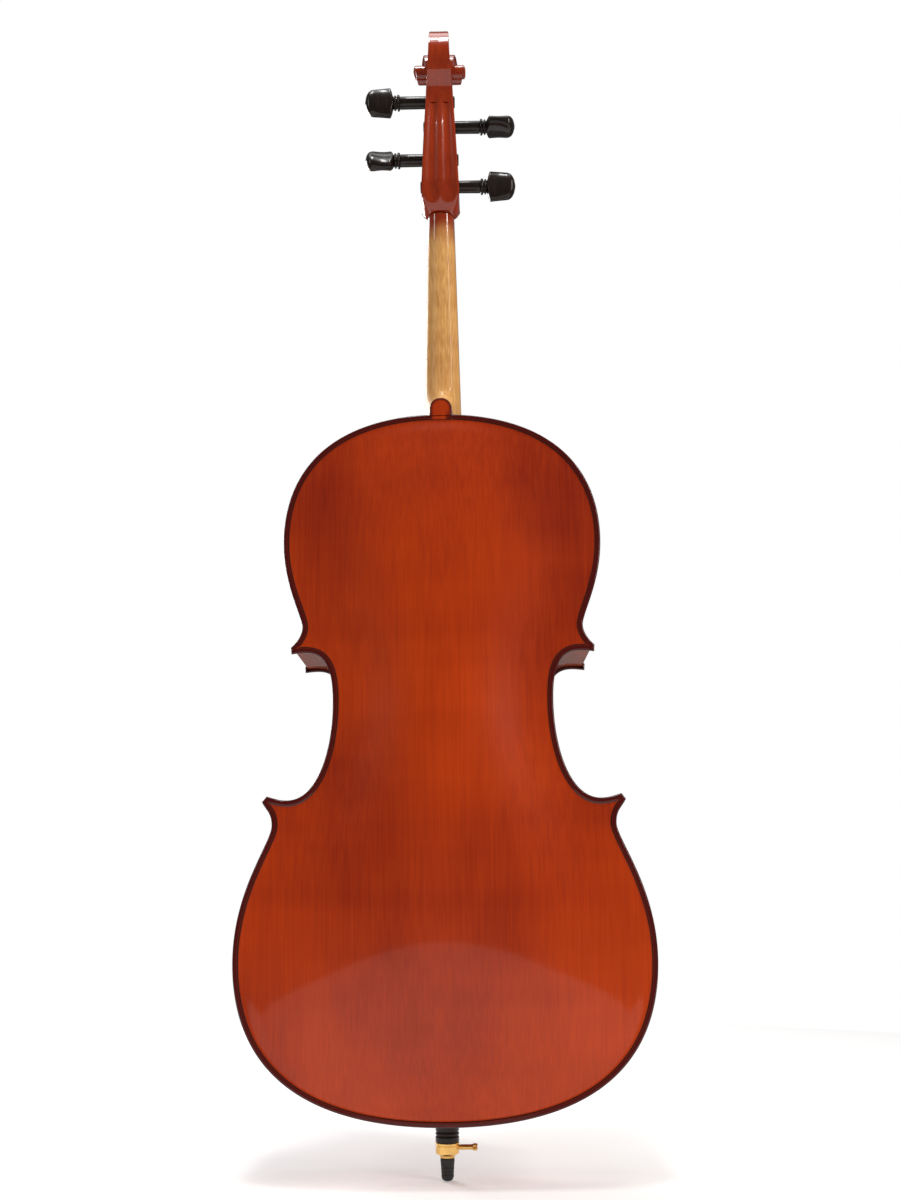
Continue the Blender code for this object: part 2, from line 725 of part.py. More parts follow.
def scroll_turns():
    """Stepped cones stand for the inner turns of the volute on both sides."""
    steps = [(EYE_HALF, EYE_R), (EYE_HALF - 0.002, EYE_R + 0.004), (EYE_HALF - 0.0075, SCROLL_TOP_R * 0.40),
             (EYE_HALF - 0.0105, SCROLL_TOP_R * 0.52), (EYE_HALF - 0.015, SCROLL_TOP_R * 0.59)]
    profile = [(-along, radius) for along, radius in steps]
    profile += [(along, radius) for along, radius in reversed(steps)]
    return turned("scroll_turns", profile, "varnish", (0.0, SCROLL_Y, NUT_Z + SCROLL_UP), "X", 24)


def scroll_band():
    """The outer turn: a plate whose radius shrinks from the back, over the top, to the front."""
    turns = np.radians(np.linspace(-12, 300, 27))
    shrink = np.interp(np.degrees(turns), (-12, 0, 90, 180, 270, 300), (1.03, 1.05, 1.0, 0.79, 0.62, 0.60))
    eye = np.array([SCROLL_Y, NUT_Z + SCROLL_UP])
    spokes = np.column_stack([np.cos(turns), np.sin(turns)])
    around = eye + SCROLL_TOP_R * shrink[:, None] * spokes
    rings = [[(x, y, z) for y, z in around] for x in (-SCROLL_BAND_HALF, SCROLL_BAND_HALF)]
    return loft("scroll_band", rings, "varnish")


def peg_spot(string):
    up = PEG_ALONG[string]
    return (0.0, PEG_LINE_Y + PEG_LINE_LEAN * (up - PEG_ALONG["c"]), NUT_Z + up)


def neck():
    rings = [neck_ring(TOP + level) for level in HEEL_LEVELS]
    rings += [neck_ring(BUTTON_TOP + level) for level in SHAFT_LEVELS]
    rings += [neck_ring(NUT_Z)]
    rings += [pegbox_ring(up) for up in PEGBOX_LEVELS]
    body = loft("neck", rings, "maple")
    root = [(x * 0.97, y * 0.97, z) for x, y, z in pegbox_ring(PEGBOX_LENGTH - 0.0015)]
    crown = [(x * 0.92, SCROLL_Y + (y - SCROLL_Y) * 0.9, z + 0.03) for x, y, z in root]
    boolean(body, loft("scroll_throat", [root, crown], "varnish"), "UNION")
    boolean(body, scroll_band(), "UNION")
    boolean(body, scroll_turns(), "UNION")
    rings = []
    for up in np.linspace(NUT_LONG + 0.0018, PEGBOX_LENGTH + 0.004, 8):
        half = pegbox_half(up) - CHEEK
        floor = pegbox_back(up) - 0.009
        z = NUT_Z + up
        rings.append([(half, pegbox_front(up) - 0.02, z), (half, floor, z), (-half, floor, z),
                      (-half, pegbox_front(up) - 0.02, z)])
    boolean(body, loft("pegbox_cavity", rings, "varnish"))
    for string in PEG_ALONG:
        hole = turned(f"peg_hole_{string}", [(-0.04, PEG_R + BORE_GAP), (0.04, PEG_R + BORE_GAP)],
                      "varnish", peg_spot(string), "X", 16)
        boolean(body, hole)
    return body


def mortise_cutter():
    """The heel's own root, grown by a gap, for the pieces that it is let into."""
    root = neck_ring(TOP - MORTISE, MORTISE_SIDE)
    back = max(y for x, y, z in root)
    past = 0.001
    low, high = TOP - MORTISE - MORTISE_SIDE, TOP + 0.02
    rings = [[(x, y + (past if y == back else 0.0), level) for x, y, z in root] for level in (low, high)]
    return loft("mortise", rings, "maple")


def fingerboard():
    rings = []
    low = NUT_Z - BOARD_LENGTH
    for z in (low, low + 0.02, low + 0.29, NUT_Z - GAP):
        half, thick = board_half(z), board_thick(z)
        top = board_top(z)
        ring = []
        for k in range(9):
            x = half * (k / 4 - 1)
            ring.append((x, top + x ** 2 / (2 * BOARD_ROUND), z))
        ring += [(half, top + thick, z), (-half, top + thick, z)]
        rings.append(ring)
    return loft("fingerboard", rings, "ebony")


def string_at_nut(string):
    """Centre of a string where it leaves the nut."""
    x = UNITS[string] * NUT_SPREAD
    y = board_top(NUT_Z) + x ** 2 / (2 * BOARD_ROUND) - NUT_OVER - STRING_R[string] - GAP
    return np.array([x, y, NUT_Z + NUT_LONG * 0.3])


def nut():
    rings = []
    under = neck_front(NUT_Z)
    for along, drop in ((GAP, 0.0), (NUT_LONG * 0.3, 0.0), (NUT_LONG * 0.75, 0.0022), (NUT_LONG, 0.005)):
        z = NUT_Z + along
        ring = []
        for k in range(9):
            x = BOARD_NUT_HALF * (k / 4 - 1) * 0.99
            ring.append((x, board_top(NUT_Z) + x ** 2 / (2 * BOARD_ROUND) - NUT_OVER + drop, z))
        ring += [(BOARD_NUT_HALF * 0.99, under, z), (-BOARD_NUT_HALF * 0.99, under, z)]
        rings.append(ring)
    return loft("nut", rings, "ebony")


# ---- bridge, tailpiece and strings ----

def bridge_top(x):
    crown = -(HALF_DEPTH + ARCH + BRIDGE_TALL)
    return crown + x ** 2 / (2 * BRIDGE_ROUND)


def string_at_bridge(string):
    x = UNITS[string] * STRING_SPREAD
    return np.array([x, bridge_top(x) - STRING_R[string] * 1.1 - GAP * 2, BRIDGE_Z])


def plate_top(x, z):
    return -(HALF_DEPTH + float(arch(x, z)))


def bridge():
    foot_in, foot_out = BRIDGE_FOOT_IN, BRIDGE_HALF
    side = [(foot_in + (foot_out - foot_in) * k / 4, 0.0) for k in range(5)]
    treble = [(x, plate_top(x, BRIDGE_Z) - ARCH_GAP) for x, _ in side]
    ankle = plate_top(foot_out, BRIDGE_Z)
    crown = bridge_top(0.0)
    tall = ankle - crown
    treble += [(foot_out, ankle - 0.004), (foot_out * 0.80, ankle - 0.010),
               (foot_out * 0.72, ankle - 0.30 * tall), (foot_out * 0.66, ankle - 0.42 * tall),
               (foot_out * 0.86, ankle - 0.56 * tall),
               (foot_out * 0.80, ankle - 0.68 * tall)]
    top_half = 1.75 * STRING_SPREAD
    treble += [(top_half * k / 4, bridge_top(top_half * k / 4)) for k in (4, 3, 2, 1, 0)]
    arch_rise = [(foot_in, ankle - 0.10 * tall), (foot_in * 0.95, ankle - 0.26 * tall),
                 (foot_in * 0.5, ankle - 0.36 * tall), (0.0, ankle - 0.38 * tall)]
    inner = [(-x, y) for x, y in arch_rise[:-1]] + arch_rise[::-1]
    around = treble + [(-x, y) for x, y in treble[:-1][::-1]] + inner
    front, back = [], []
    for x, y in around:
        share = min(max((ankle - y) / tall, 0.0), 1.0)
        thick = BRIDGE_FOOT + (BRIDGE_TOP - BRIDGE_FOOT) * share
        front.append((x, y, BRIDGE_Z + thick / 2))
        back.append((x, y, BRIDGE_Z - thick / 2))
    return loft("bridge", [back, front], "maple")


def saddle():
    """An ebony ridge let into the top's lower edge, falling away towards its ends."""
    rings = []
    for share in (-1.0, -0.5, 0.0, 0.5, 1.0):
        x = share * SADDLE_HALF
        proud = -(HALF_DEPTH + SADDLE_PROUD) + SADDLE_PROUD * 0.5 * share ** 4
        rings.append([(x, proud, BOTTOM + 0.0005), (x, proud + 0.002, BOTTOM + SADDLE_DEEP),
                      (x, -RIB_Y, BOTTOM + SADDLE_DEEP), (x, -RIB_Y, BOTTOM - 0.001),
                      (x, proud + 0.003, BOTTOM - 0.001)])
    return loft("saddle", rings, "ebony")


def saddle_cutter():
    low = (-SADDLE_HALF - GAP, -HALF_DEPTH - 0.02, BOTTOM - 0.01)
    high = (SADDLE_HALF + GAP, -HALF_DEPTH + EDGE + 0.01, BOTTOM + SADDLE_DEEP + GAP)
    return box("saddle_notch", low, high)


SADDLE_TOP = np.array([0.0, -(HALF_DEPTH + SADDLE_PROUD), BOTTOM + SADDLE_DEEP * 0.3])
TAIL_LOW = BOTTOM + SADDLE_DEEP + TAIL_GAP
TAIL_HIGH = TAIL_LOW + TAILPIECE_LENGTH


def tail_line(z):
    """Height of the strings' pull line between the bridge and the saddle."""
    high = bridge_top(0.0)
    low = SADDLE_TOP[1]
    return low + (high - low) * (z - SADDLE_TOP[2]) / (BRIDGE_Z - SADDLE_TOP[2])


def tail_half(z):
    share = (z - TAIL_LOW) / (TAIL_HIGH - TAIL_LOW)
    return TAIL_HALF_LOW + (TAIL_HALF_HIGH - TAIL_HALF_LOW) * share ** 1.2


def tail_top(x, z):
    return tail_line(z) + 0.002 + (x / tail_half(z)) ** 2 * 0.006


TUNER_Z = TAIL_HIGH - TUNER_IN
HOOK_Z = TAIL_HIGH - HOOK_IN
PIVOT_Z = TAIL_HIGH - PIVOT_IN


def tailpiece():
    rings = []
    for t in np.linspace(0, 1, 9):
        z = TAIL_LOW + (TAIL_HIGH - TAIL_LOW) * t
        half = tail_half(z)
        under = tail_line(z) + TAIL_THICK * (0.75 + 0.25 * t)
        ring = [(half * (k / 4 - 1), tail_top(half * (k / 4 - 1), z), z) for k in range(9)]
        ring += [(half * 0.86, under, z), (-half * 0.86, under, z)]
        rings.append(ring)
    body = loft("tailpiece", rings, "ebony")
    for string, unit in UNITS.items():
        x = unit * LEVER_SPREAD
        top = tail_top(x, TUNER_Z)
        wide = LEVER_HALF + 0.0006
        boolean(body, box(f"tuner_pocket_{string}", (x - wide, top + 0.004, TUNER_Z - 0.005),
                          (x + wide, top + 0.04, TAIL_HIGH + 0.01)))
        boolean(body, box(f"tuner_slot_{string}", (x - wide, top - 0.04, HOOK_Z - 0.006),
                          (x + wide, top + 0.01, TAIL_HIGH + 0.01)))
        bore = TUNER_SCREW_R + BORE_GAP
        boolean(body, turned(f"tuner_bore_{string}", [(-0.02, bore), (0.02, bore)],
                             "brass", (x, top, TUNER_Z), "Y", 12))
    return body


def hook_spot(string):
    x = UNITS[string] * LEVER_SPREAD
    return np.array([x, tail_line(HOOK_Z) - 0.001, HOOK_Z])


def tuners():
    for string, unit in UNITS.items():
        x = unit * LEVER_SPREAD
        top = tail_top(x, TUNER_Z)
        arm = top + 0.0075
        lift = hook_spot(string)[1] + STRING_R[string] + GAP
        shape = [(HOOK_Z + 0.0015, lift), (HOOK_Z + 0.0015, arm), (HOOK_Z - 0.001, arm + 0.0028),
                 (TUNER_Z - 0.0025, arm + 0.0028), (TUNER_Z - 0.0025, arm), (HOOK_Z - 0.0035, arm - 0.0004),
                 (HOOK_Z - 0.0018, lift)]
        pivot = (x, arm + 0.0014, PIVOT_Z)
        rings = [[(x + dx, y, z) for z, y in shape] for dx in (-LEVER_HALF, LEVER_HALF)]
        loft(f"tuner_lever_{string}", rings, "steel", pivot)
        screw_from, screw_to = -0.0125, arm - top - GAP
        turned(f"tuner_screw_{string}", [(screw_from, TUNER_SCREW_R), (screw_to, TUNER_SCREW_R)], "brass",
               (x, top, TUNER_Z), "Y", 12)
        bore = TUNER_SCREW_R + BORE_GAP
        profile = [(-0.0060, bore), (-0.0060, KNOB_R * 0.8), (-0.0070, KNOB_R), (-0.0125, KNOB_R),
                   (-0.0132, KNOB_R * 0.8), (-0.0132, bore)]
        tube(f"tuner_knob_{string}", profile, "brass", (x, top, TUNER_Z), "Y", 14)


def tube(name, profile, finish, centre, axis="Z", sides=20):
    """A turned ring: the profile closes on itself and never meets the axis."""
    verts, faces = [], []
    count = len(profile)
    for k in range(sides):
        angle = 2 * math.pi * k / sides
        c, s = math.cos(angle), math.sin(angle)
        for along, radius in profile:
            p, q = radius * c, radius * s
            if axis == "Z":
                verts.append((centre[0] + p, centre[1] + q, centre[2] + along))
            elif axis == "X":
                verts.append((centre[0] + along, centre[1] + p, centre[2] + q))
            else:
                verts.append((centre[0] + q, centre[1] + along, centre[2] + p))
    for k in range(sides):
        after = (k + 1) % sides
        for i in range(count):
            j = (i + 1) % count
            faces.append((k * count + i, k * count + j, after * count + j, after * count + i))
    return add_object(name, verts, faces, finish, centre)


def path_tube(name, points, radius, finish, sides=6):
    """A round cord or string through its points, mitred at each bend."""
    points = np.array(points)
    along = np.gradient(points, axis=0)
    steps = np.diff(points, axis=0)
    steps /= np.linalg.norm(steps, axis=1)[:, None]
    along[0], along[-1] = steps[0], steps[-1]
    along[1:-1] = steps[:-1] + steps[1:]
    along /= np.linalg.norm(along, axis=1)[:, None]
    side = np.array([1.0, 0.0, 0.0])
    if abs(along[0, 0]) > 0.8:
        side = np.array([0.0, 1.0, 0.0])
    rings = []
    for k, (point, forward) in enumerate(zip(points, along)):
        side = side - forward * np.dot(side, forward)
        side /= np.linalg.norm(side)
        up = np.cross(forward, side)
        rings.append([tuple(point + radius * (math.cos(a) * side + math.sin(a) * up))
                      for a in np.linspace(0, 2 * math.pi, sides, endpoint=False)])
    return loft(name, rings, finish, sharp=60.0)


def peg_wrap(string):
    """Where a string meets its peg's front, one gap and its own radius off the shaft."""
    spot = peg_spot(string)
    off = PEG_R + GAP * 2 + STRING_R[string] * 1.1
    return np.array([UNITS[string] * NUT_SPREAD * 0.45, spot[1] - off, spot[2]])


def strings():
    for string in UNITS:
        nut_point = string_at_nut(string)
        over_nut = nut_point + np.array([0.0, 0.0022, NUT_LONG * 0.7 + 0.001])
        path = [hook_spot(string), string_at_bridge(string), nut_point, over_nut, peg_wrap(string)]
        path_tube(f"string_{string}", path, STRING_R[string], "steel")


def tailgut():
    """A loop from the tailpiece, over the saddle and once round the plug."""
    top = SADDLE_TOP[1] - GUT_R - GAP * 2
    ring_r = PLUG_R + GAP * 2 + GUT_R
    down = BOTTOM - GUT_DROP
    half = [(GUT_X, tail_line(TAIL_LOW) + 0.004, TAIL_LOW - GAP),
            (GUT_X, top, BOTTOM + SADDLE_DEEP * 0.8),
            (GUT_X, top, BOTTOM + 0.0015),
            (GUT_X, top + 0.002, down + 0.001),
            (GUT_X, top + 0.006, down - 0.0005),
            (GUT_X * 1.4, -0.03, down)]
    angles = np.radians(np.linspace(-25, 90, 9))
    half += [(ring_r * math.cos(a), ring_r * math.sin(a), down) for a in angles]
    path = half + [(-x, y, z) for x, y, z in half[:-1][::-1]]
    return path_tube("tailgut", path, GUT_R, "carbon", 6)


# ---- pegs ----

def pegs():
    for string, side in PEG_SIDE.items():
        spot = peg_spot(string)
        far = pegbox_half(PEG_ALONG[string]) + 0.002
        collar = PEG_R + PEG_COLLAR
        profile = [(-far, PEG_R, PEG_R), (PEG_HEAD_IN - 0.0085, PEG_R, PEG_R),
                   (PEG_HEAD_IN - 0.0083, collar, collar), (PEG_HEAD_IN - 0.0040, collar, collar),
                   (PEG_HEAD_IN - 0.0035, PEG_R - 0.0002, PEG_R - 0.0002),
                   (PEG_HEAD_IN, 0.0078, 0.0110), (PEG_HEAD_IN + 0.006, 0.0068, 0.0172),
                   (PEG_HEAD_IN + 0.016, 0.0062, 0.0185), (PEG_HEAD_IN + 0.026, 0.0078, 0.0168),
                   (PEG_HEAD_OUT - 0.001, 0.0088, 0.0105), (PEG_HEAD_OUT, 0.0070, 0.0080)]
        turn = math.radians(PEG_TURN[string])
        rings = []
        for along, narrow, wide in profile:
            ring = []
            for k in range(16):
                angle = 2 * math.pi * k / 16
                p, q = narrow * math.cos(angle), wide * math.sin(angle)
                y = p * math.cos(turn) - q * math.sin(turn)
                z = p * math.sin(turn) + q * math.cos(turn)
                ring.append((side * along, spot[1] + y, spot[2] + z))
            rings.append(ring)
        loft(f"peg_{string}", rings, "ebony", spot)


# ---- endpin ----

def endpin():
    rib_low = BOTTOM + RIB_OUT
    bore = ROD_R + BORE_GAP
    deep = rib_low + BLOCK_DEEP
    plug = [(deep, bore), (deep, PLUG_R - 0.002), (rib_low - GAP, PLUG_R - 0.0015), (rib_low - GAP, PLUG_R)]
    for groove in (BOTTOM - 0.014, BOTTOM - 0.018):
        plug += [(groove + 0.001, PLUG_R), (groove, PLUG_R - 0.001), (groove - 0.001, PLUG_R)]
    plug += [(BOTTOM - PLUG_OUT + GAP / 2, PLUG_R), (BOTTOM - PLUG_OUT + GAP / 2, bore)]
    tube("endpin_plug", plug, "ebony", (0.0, 0.0, 0.0), "Z", 24)
    low = BOTTOM - COLLAR_LOW
    high = BOTTOM - PLUG_OUT - GAP / 2
    profile = [(high, bore), (high, PLUG_R), (low + 0.0047, PLUG_R), (low + 0.0030, PLUG_R - 0.0034),
               (low, PLUG_R - 0.0046), (low, bore)]
    collar = tube("endpin_collar", profile, "brass", (0.0, 0.0, 0.0), "Z", 24)
    screw_z = BOTTOM - SCREW_DROP
    hole_r = SCREW_R + BORE_GAP
    hole = turned("screw_hole", [(-0.03, hole_r), (0.0, hole_r)], "brass", (0.0, 0.0, screw_z), "X", 16)
    boolean(collar, hole)
    profile = [(-SCREW_OUT, SCREW_R + 0.0005), (-SCREW_OUT + 0.0006, SCREW_R + 0.001),
               (-SCREW_OUT + 0.0046, SCREW_R + 0.001), (-SCREW_OUT + 0.0052, SCREW_R), (-bore, SCREW_R)]
    turned("endpin_screw", profile, "brass", (0.0, 0.0, screw_z), "X", 16)
    foot = 0.006
    rod = [(foot + GAP, ROD_R - 0.0005), (foot + GAP + 0.0008, ROD_R), (foot + ROD_LENGTH, ROD_R)]
    turned("endpin_rod", rod, "steel", (0.0, 0.0, 0.0), "Z", 16)
    tip = [(0.0, TIP_R * 0.45), (0.0012, TIP_R * 0.72), (0.004, TIP_R * 0.87), (TIP_TALL - 0.001, TIP_R),
           (TIP_TALL, TIP_R - 0.0005), (TIP_TALL, bore), (foot, bore)]
    turned("endpin_tip", tip, "rubber", (0.0, 0.0, 0.0), "Z", 20)


def build():
    clear_scene()
    back_plate()
    top = top_plate()
    mortise = mortise_cutter()
    plug_hole_r = PLUG_R - 0.0015 + BORE_GAP
    plug_bore = turned("plug_bore", [(-0.02, plug_hole_r), (0.06, plug_hole_r)],
                       "varnish", (0.0, 0.0, BOTTOM), "Z", 24)
    boolean(top, mortise)
    boolean(top, saddle_cutter())
    for rib in ribs():
        if "upper" in rib.name:
            boolean(rib, mortise)
        if "lower" in rib.name:
            boolean(rib, plug_bore)
    corner_blocks()
    boolean(end_block("upper_block", upper_line(), UPPER_BLOCK_HALF, True), mortise)
    boolean(end_block("lower_block", lower_line(), LOWER_BLOCK_HALF, False), plug_bore)
    linings()
    bass_bar()
    sound_post()
    neck()
    fingerboard()
    nut()
    saddle()
    bridge()
    tailpiece()
    tuners()
    tailgut()
    strings()
    pegs()
    endpin()


build()
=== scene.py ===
"""Looks of a full-size student cello, built up around its working model.

Metres, +Z up the instrument, +Y out of the back, +X the treble side.
"""
import math

import bmesh
import bpy
import numpy as np
from mathutils import Matrix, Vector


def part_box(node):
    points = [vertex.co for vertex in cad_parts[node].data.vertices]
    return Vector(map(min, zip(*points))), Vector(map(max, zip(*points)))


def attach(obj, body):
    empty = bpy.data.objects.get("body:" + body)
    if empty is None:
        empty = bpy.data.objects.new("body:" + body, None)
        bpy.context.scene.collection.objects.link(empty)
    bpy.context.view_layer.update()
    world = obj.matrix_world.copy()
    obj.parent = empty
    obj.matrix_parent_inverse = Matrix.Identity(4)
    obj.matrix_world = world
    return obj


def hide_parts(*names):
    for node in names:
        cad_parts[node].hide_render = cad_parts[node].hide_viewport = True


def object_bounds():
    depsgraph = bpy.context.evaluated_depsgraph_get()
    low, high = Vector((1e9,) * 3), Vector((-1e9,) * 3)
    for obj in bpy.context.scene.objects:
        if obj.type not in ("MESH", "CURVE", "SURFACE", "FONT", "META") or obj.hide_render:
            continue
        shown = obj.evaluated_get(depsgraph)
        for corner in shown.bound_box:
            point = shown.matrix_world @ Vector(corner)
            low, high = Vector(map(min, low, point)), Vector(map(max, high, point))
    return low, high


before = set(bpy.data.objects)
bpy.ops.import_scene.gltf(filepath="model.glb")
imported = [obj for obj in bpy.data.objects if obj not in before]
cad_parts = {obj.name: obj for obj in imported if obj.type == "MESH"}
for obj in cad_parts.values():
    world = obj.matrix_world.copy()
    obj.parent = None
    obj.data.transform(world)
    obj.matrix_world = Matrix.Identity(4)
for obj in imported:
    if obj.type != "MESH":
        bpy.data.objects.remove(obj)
cad_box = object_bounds()

# ---------------------------------------------------------------- studio
# A white sweep, a large soft box on the bass side of the back and weaker ones round about.
# The camera looks up a little at the back from lower-bout height.

CAMERA_PLACE = (-0.0277, 1.3912, 0.3047)
CAMERA_VIEW = np.array([0.01037, -0.99053, 0.13693])
CAMERA_TURN = math.radians(0.6)
CAMERA_LEAN = math.radians(-0.51)

camera_data = bpy.data.cameras.new("camera")
camera_data.sensor_width = 36.0
camera_data.lens = 38.09
camera_data.shift_x = -0.005
camera_data.shift_y = 0.0939
camera = bpy.data.objects.new("camera", camera_data)
bpy.context.scene.collection.objects.link(camera)
level = np.array([-math.cos(CAMERA_TURN), -math.sin(CAMERA_TURN), 0.0])
upright = np.cross(level, CAMERA_VIEW)
stand = np.eye(4)
stand[:3, 0] = math.cos(CAMERA_LEAN) * level + math.sin(CAMERA_LEAN) * upright
stand[:3, 1] = math.cos(CAMERA_LEAN) * upright - math.sin(CAMERA_LEAN) * level
stand[:3, 2] = -CAMERA_VIEW
stand[:3, 3] = CAMERA_PLACE
camera.matrix_world = Matrix(stand.tolist())
bpy.context.scene.camera = camera


def soft_box(name, place, aim, size, power, tint=(1.0, 1.0, 1.0)):
    """A rectangular area light at a place, turned so that its face looks at the aim."""
    light = bpy.data.lights.new(name, "AREA")
    light.shape = "RECTANGLE"
    light.size, light.size_y = size
    light.energy = power
    light.color = tint
    lamp = bpy.data.objects.new(name, light)
    lamp.location = place
    toward = np.array(aim) - np.array(place)
    lamp.rotation_euler = (
        math.atan2(math.hypot(toward[0], toward[1]), -toward[2]),
        0.0,
        math.atan2(toward[1], toward[0]) - math.pi / 2,
    )
    bpy.context.scene.collection.objects.link(lamp)


BODY_MIDDLE = (0.0, 0.0, 0.6)
NECK_ROOT = (0.0, 0.0, 0.9)
soft_box("key", (-2.35, 1.6, 1.9), NECK_ROOT, (0.35, 2.4), 66.0, (1.0, 0.96, 0.90))
soft_box("fill", (2.45, 1.6, 2.0), NECK_ROOT, (0.25, 2.2), 24.0)
soft_box("high", (0.2, 0.9, 3.6), BODY_MIDDLE, (0.35, 0.9), 30.0)
soft_box("front_key", (1.6, -2.2, 1.7), BODY_MIDDLE, (1.2, 1.6), 60.0)
soft_box("top", (0.0, 0.2, 2.8), BODY_MIDDLE, (1.4, 1.4), 15.0)

WORLD_LIGHT = 0.16
world = bpy.data.worlds.new("studio")
world.use_nodes = True
seen = world.node_tree.nodes.new("ShaderNodeLightPath")
shade = world.node_tree.nodes.new("ShaderNodeMapRange")
shade.inputs["To Min"].default_value = WORLD_LIGHT
shade.inputs["To Max"].default_value = 1.0
world.node_tree.links.new(seen.outputs["Is Camera Ray"], shade.inputs["Value"])
world.node_tree.links.new(shade.outputs["Result"], world.node_tree.nodes["Background"].inputs["Strength"])
world.node_tree.nodes["Background"].inputs["Color"].default_value = (1.0, 1.0, 1.0, 1.0)
bpy.context.scene.world = world
bpy.context.scene.view_settings.view_transform = "Standard"

FLOOR_R = 1.6
FLOOR_SIDES = 96
floor_turn = np.linspace(0, 2 * np.pi, FLOOR_SIDES, endpoint=False)
floor_ring = np.column_stack([FLOOR_R * np.cos(floor_turn), FLOOR_R * np.sin(floor_turn),
                              np.full(FLOOR_SIDES, cad_box[0][2] - 0.0005)])
floor_mesh = bpy.data.meshes.new("floor")
floor_mesh.from_pydata(floor_ring.tolist(), [], [tuple(range(FLOOR_SIDES))])
floor_paint = bpy.data.materials.new("pale_floor")
floor_paint.use_nodes = True
floor_shader = floor_paint.node_tree.nodes["Principled BSDF"]
floor_shader.inputs["Base Color"].default_value = (0.86, 0.86, 0.86, 1.0)
floor_shader.inputs["Roughness"].default_value = 0.9
floor_shader.inputs["Emission Color"].default_value = (1.0, 1.0, 1.0, 1.0)
floor_shader.inputs["Emission Strength"].default_value = 0.22
floor_mesh.materials.append(floor_paint)
floor = bpy.data.objects.new("floor", floor_mesh)
bpy.context.scene.collection.objects.link(floor)

# ---------------------------------------------------------------- back plate
# Two book-matched maple halves, arched, with a rounded overhanging edge, a scooped channel
# inside it and the button that the neck heel stands on. Stained and varnished red-brown.

back_low, back_high = (np.array(corner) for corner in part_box("back_plate"))
BOTTOM = back_low[2]
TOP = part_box("top_plate")[1][2]
EDGE_THICK = 0.0045
HALF_DEPTH = EDGE_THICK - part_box("top_plate")[1][1]
LENGTH = TOP - BOTTOM
ARCH_RISE = back_high[1] - HALF_DEPTH
UPPER = (0.171, TOP - 0.142)
UPPER_NOTCH = (0.150, TOP - 0.236)
UPPER_TIP = (0.162, TOP - 0.2576)
UPPER_TIP_LOW = (0.1615, TOP - 0.265)
WAIST_HIGH = (0.147, TOP - 0.2638)
WAIST = (0.117, TOP - 0.317)
WAIST_LOW = (0.165, BOTTOM + 0.3335)
LOWER_TIP = (0.1865, BOTTOM + 0.338)
LOWER_TIP_LOW = (0.191, BOTTOM + 0.332)
LOWER_NOTCH = (0.1805, BOTTOM + 0.307)
LOWER = (0.2197, BOTTOM + 0.168)


def bezier(start, first, second, end, count):
    """Points of a cubic curve at even parameters, without the last one."""
    t = np.linspace(0.0, 1.0, count, endpoint=False)[:, None]
    a, b, c, d = (np.array(p, dtype=float) for p in (start, first, second, end))
    return (1 - t) ** 3 * a + 3 * (1 - t) ** 2 * t * b + 3 * (1 - t) * t ** 2 * c + t ** 3 * d


def upper_curve():
    """Upper bout from the top centre to the tip of the upper corner."""
    drop = UPPER[1] - UPPER_NOTCH[1]
    return [
        bezier((0, TOP), (0.107, TOP), (UPPER[0], UPPER[1] + 0.091), UPPER, 60),
        bezier(UPPER, (UPPER[0], UPPER[1] - 0.5 * drop), (UPPER_NOTCH[0], UPPER_NOTCH[1] + 0.138 * drop),
               UPPER_NOTCH, 26),
        bezier(UPPER_NOTCH, (UPPER_NOTCH[0], UPPER_NOTCH[1] - 0.008),
               (UPPER_TIP[0] - 0.006, UPPER_TIP[1] + 0.005), UPPER_TIP, 12),
    ]


def waist_curve():
    """The C from the upper corner's tip in to the waist and out to the lower corner's tip."""
    down = WAIST_HIGH[1] - WAIST[1]
    rest = WAIST[1] - WAIST_LOW[1]
    return [
        bezier(UPPER_TIP_LOW, (UPPER_TIP_LOW[0] - 0.005, UPPER_TIP_LOW[1] + 0.0006),
               (WAIST_HIGH[0] + 0.005, WAIST_HIGH[1]), WAIST_HIGH, 8),
        bezier(WAIST_HIGH, (WAIST_HIGH[0] - 0.022, WAIST_HIGH[1]), (WAIST[0], WAIST[1] + 0.695 * down),
               WAIST, 32),
        bezier(WAIST, (WAIST[0], WAIST[1] - 0.498 * rest), (WAIST_LOW[0] - 0.032, WAIST_LOW[1]),
               WAIST_LOW, 36),
        bezier(WAIST_LOW, (WAIST_LOW[0] + 0.008, WAIST_LOW[1]), (LOWER_TIP[0] - 0.007, LOWER_TIP[1] - 0.002),
               LOWER_TIP, 10),
    ]


def lower_curve():
    """Lower bout from the tip of the lower corner to the bottom centre."""
    drop = LOWER_NOTCH[1] - LOWER[1]
    return [
        bezier(LOWER_TIP_LOW, (LOWER_TIP_LOW[0] - 0.004, LOWER_TIP_LOW[1] - 0.009),
               (LOWER_NOTCH[0], LOWER_NOTCH[1] + 0.014), LOWER_NOTCH, 12),
        bezier(LOWER_NOTCH, (LOWER_NOTCH[0], LOWER_NOTCH[1] - 0.122 * drop),
               (LOWER[0], LOWER[1] + 0.525 * drop), LOWER, 32),
        bezier(LOWER, (LOWER[0], LOWER[1] - 0.113), (0.142, BOTTOM), (0, BOTTOM), 64),
    ]


def whole_line(pieces, end):
    """Curves laid end to end, with the last point that each of them leaves out."""
    return np.vstack([*pieces, [end]])


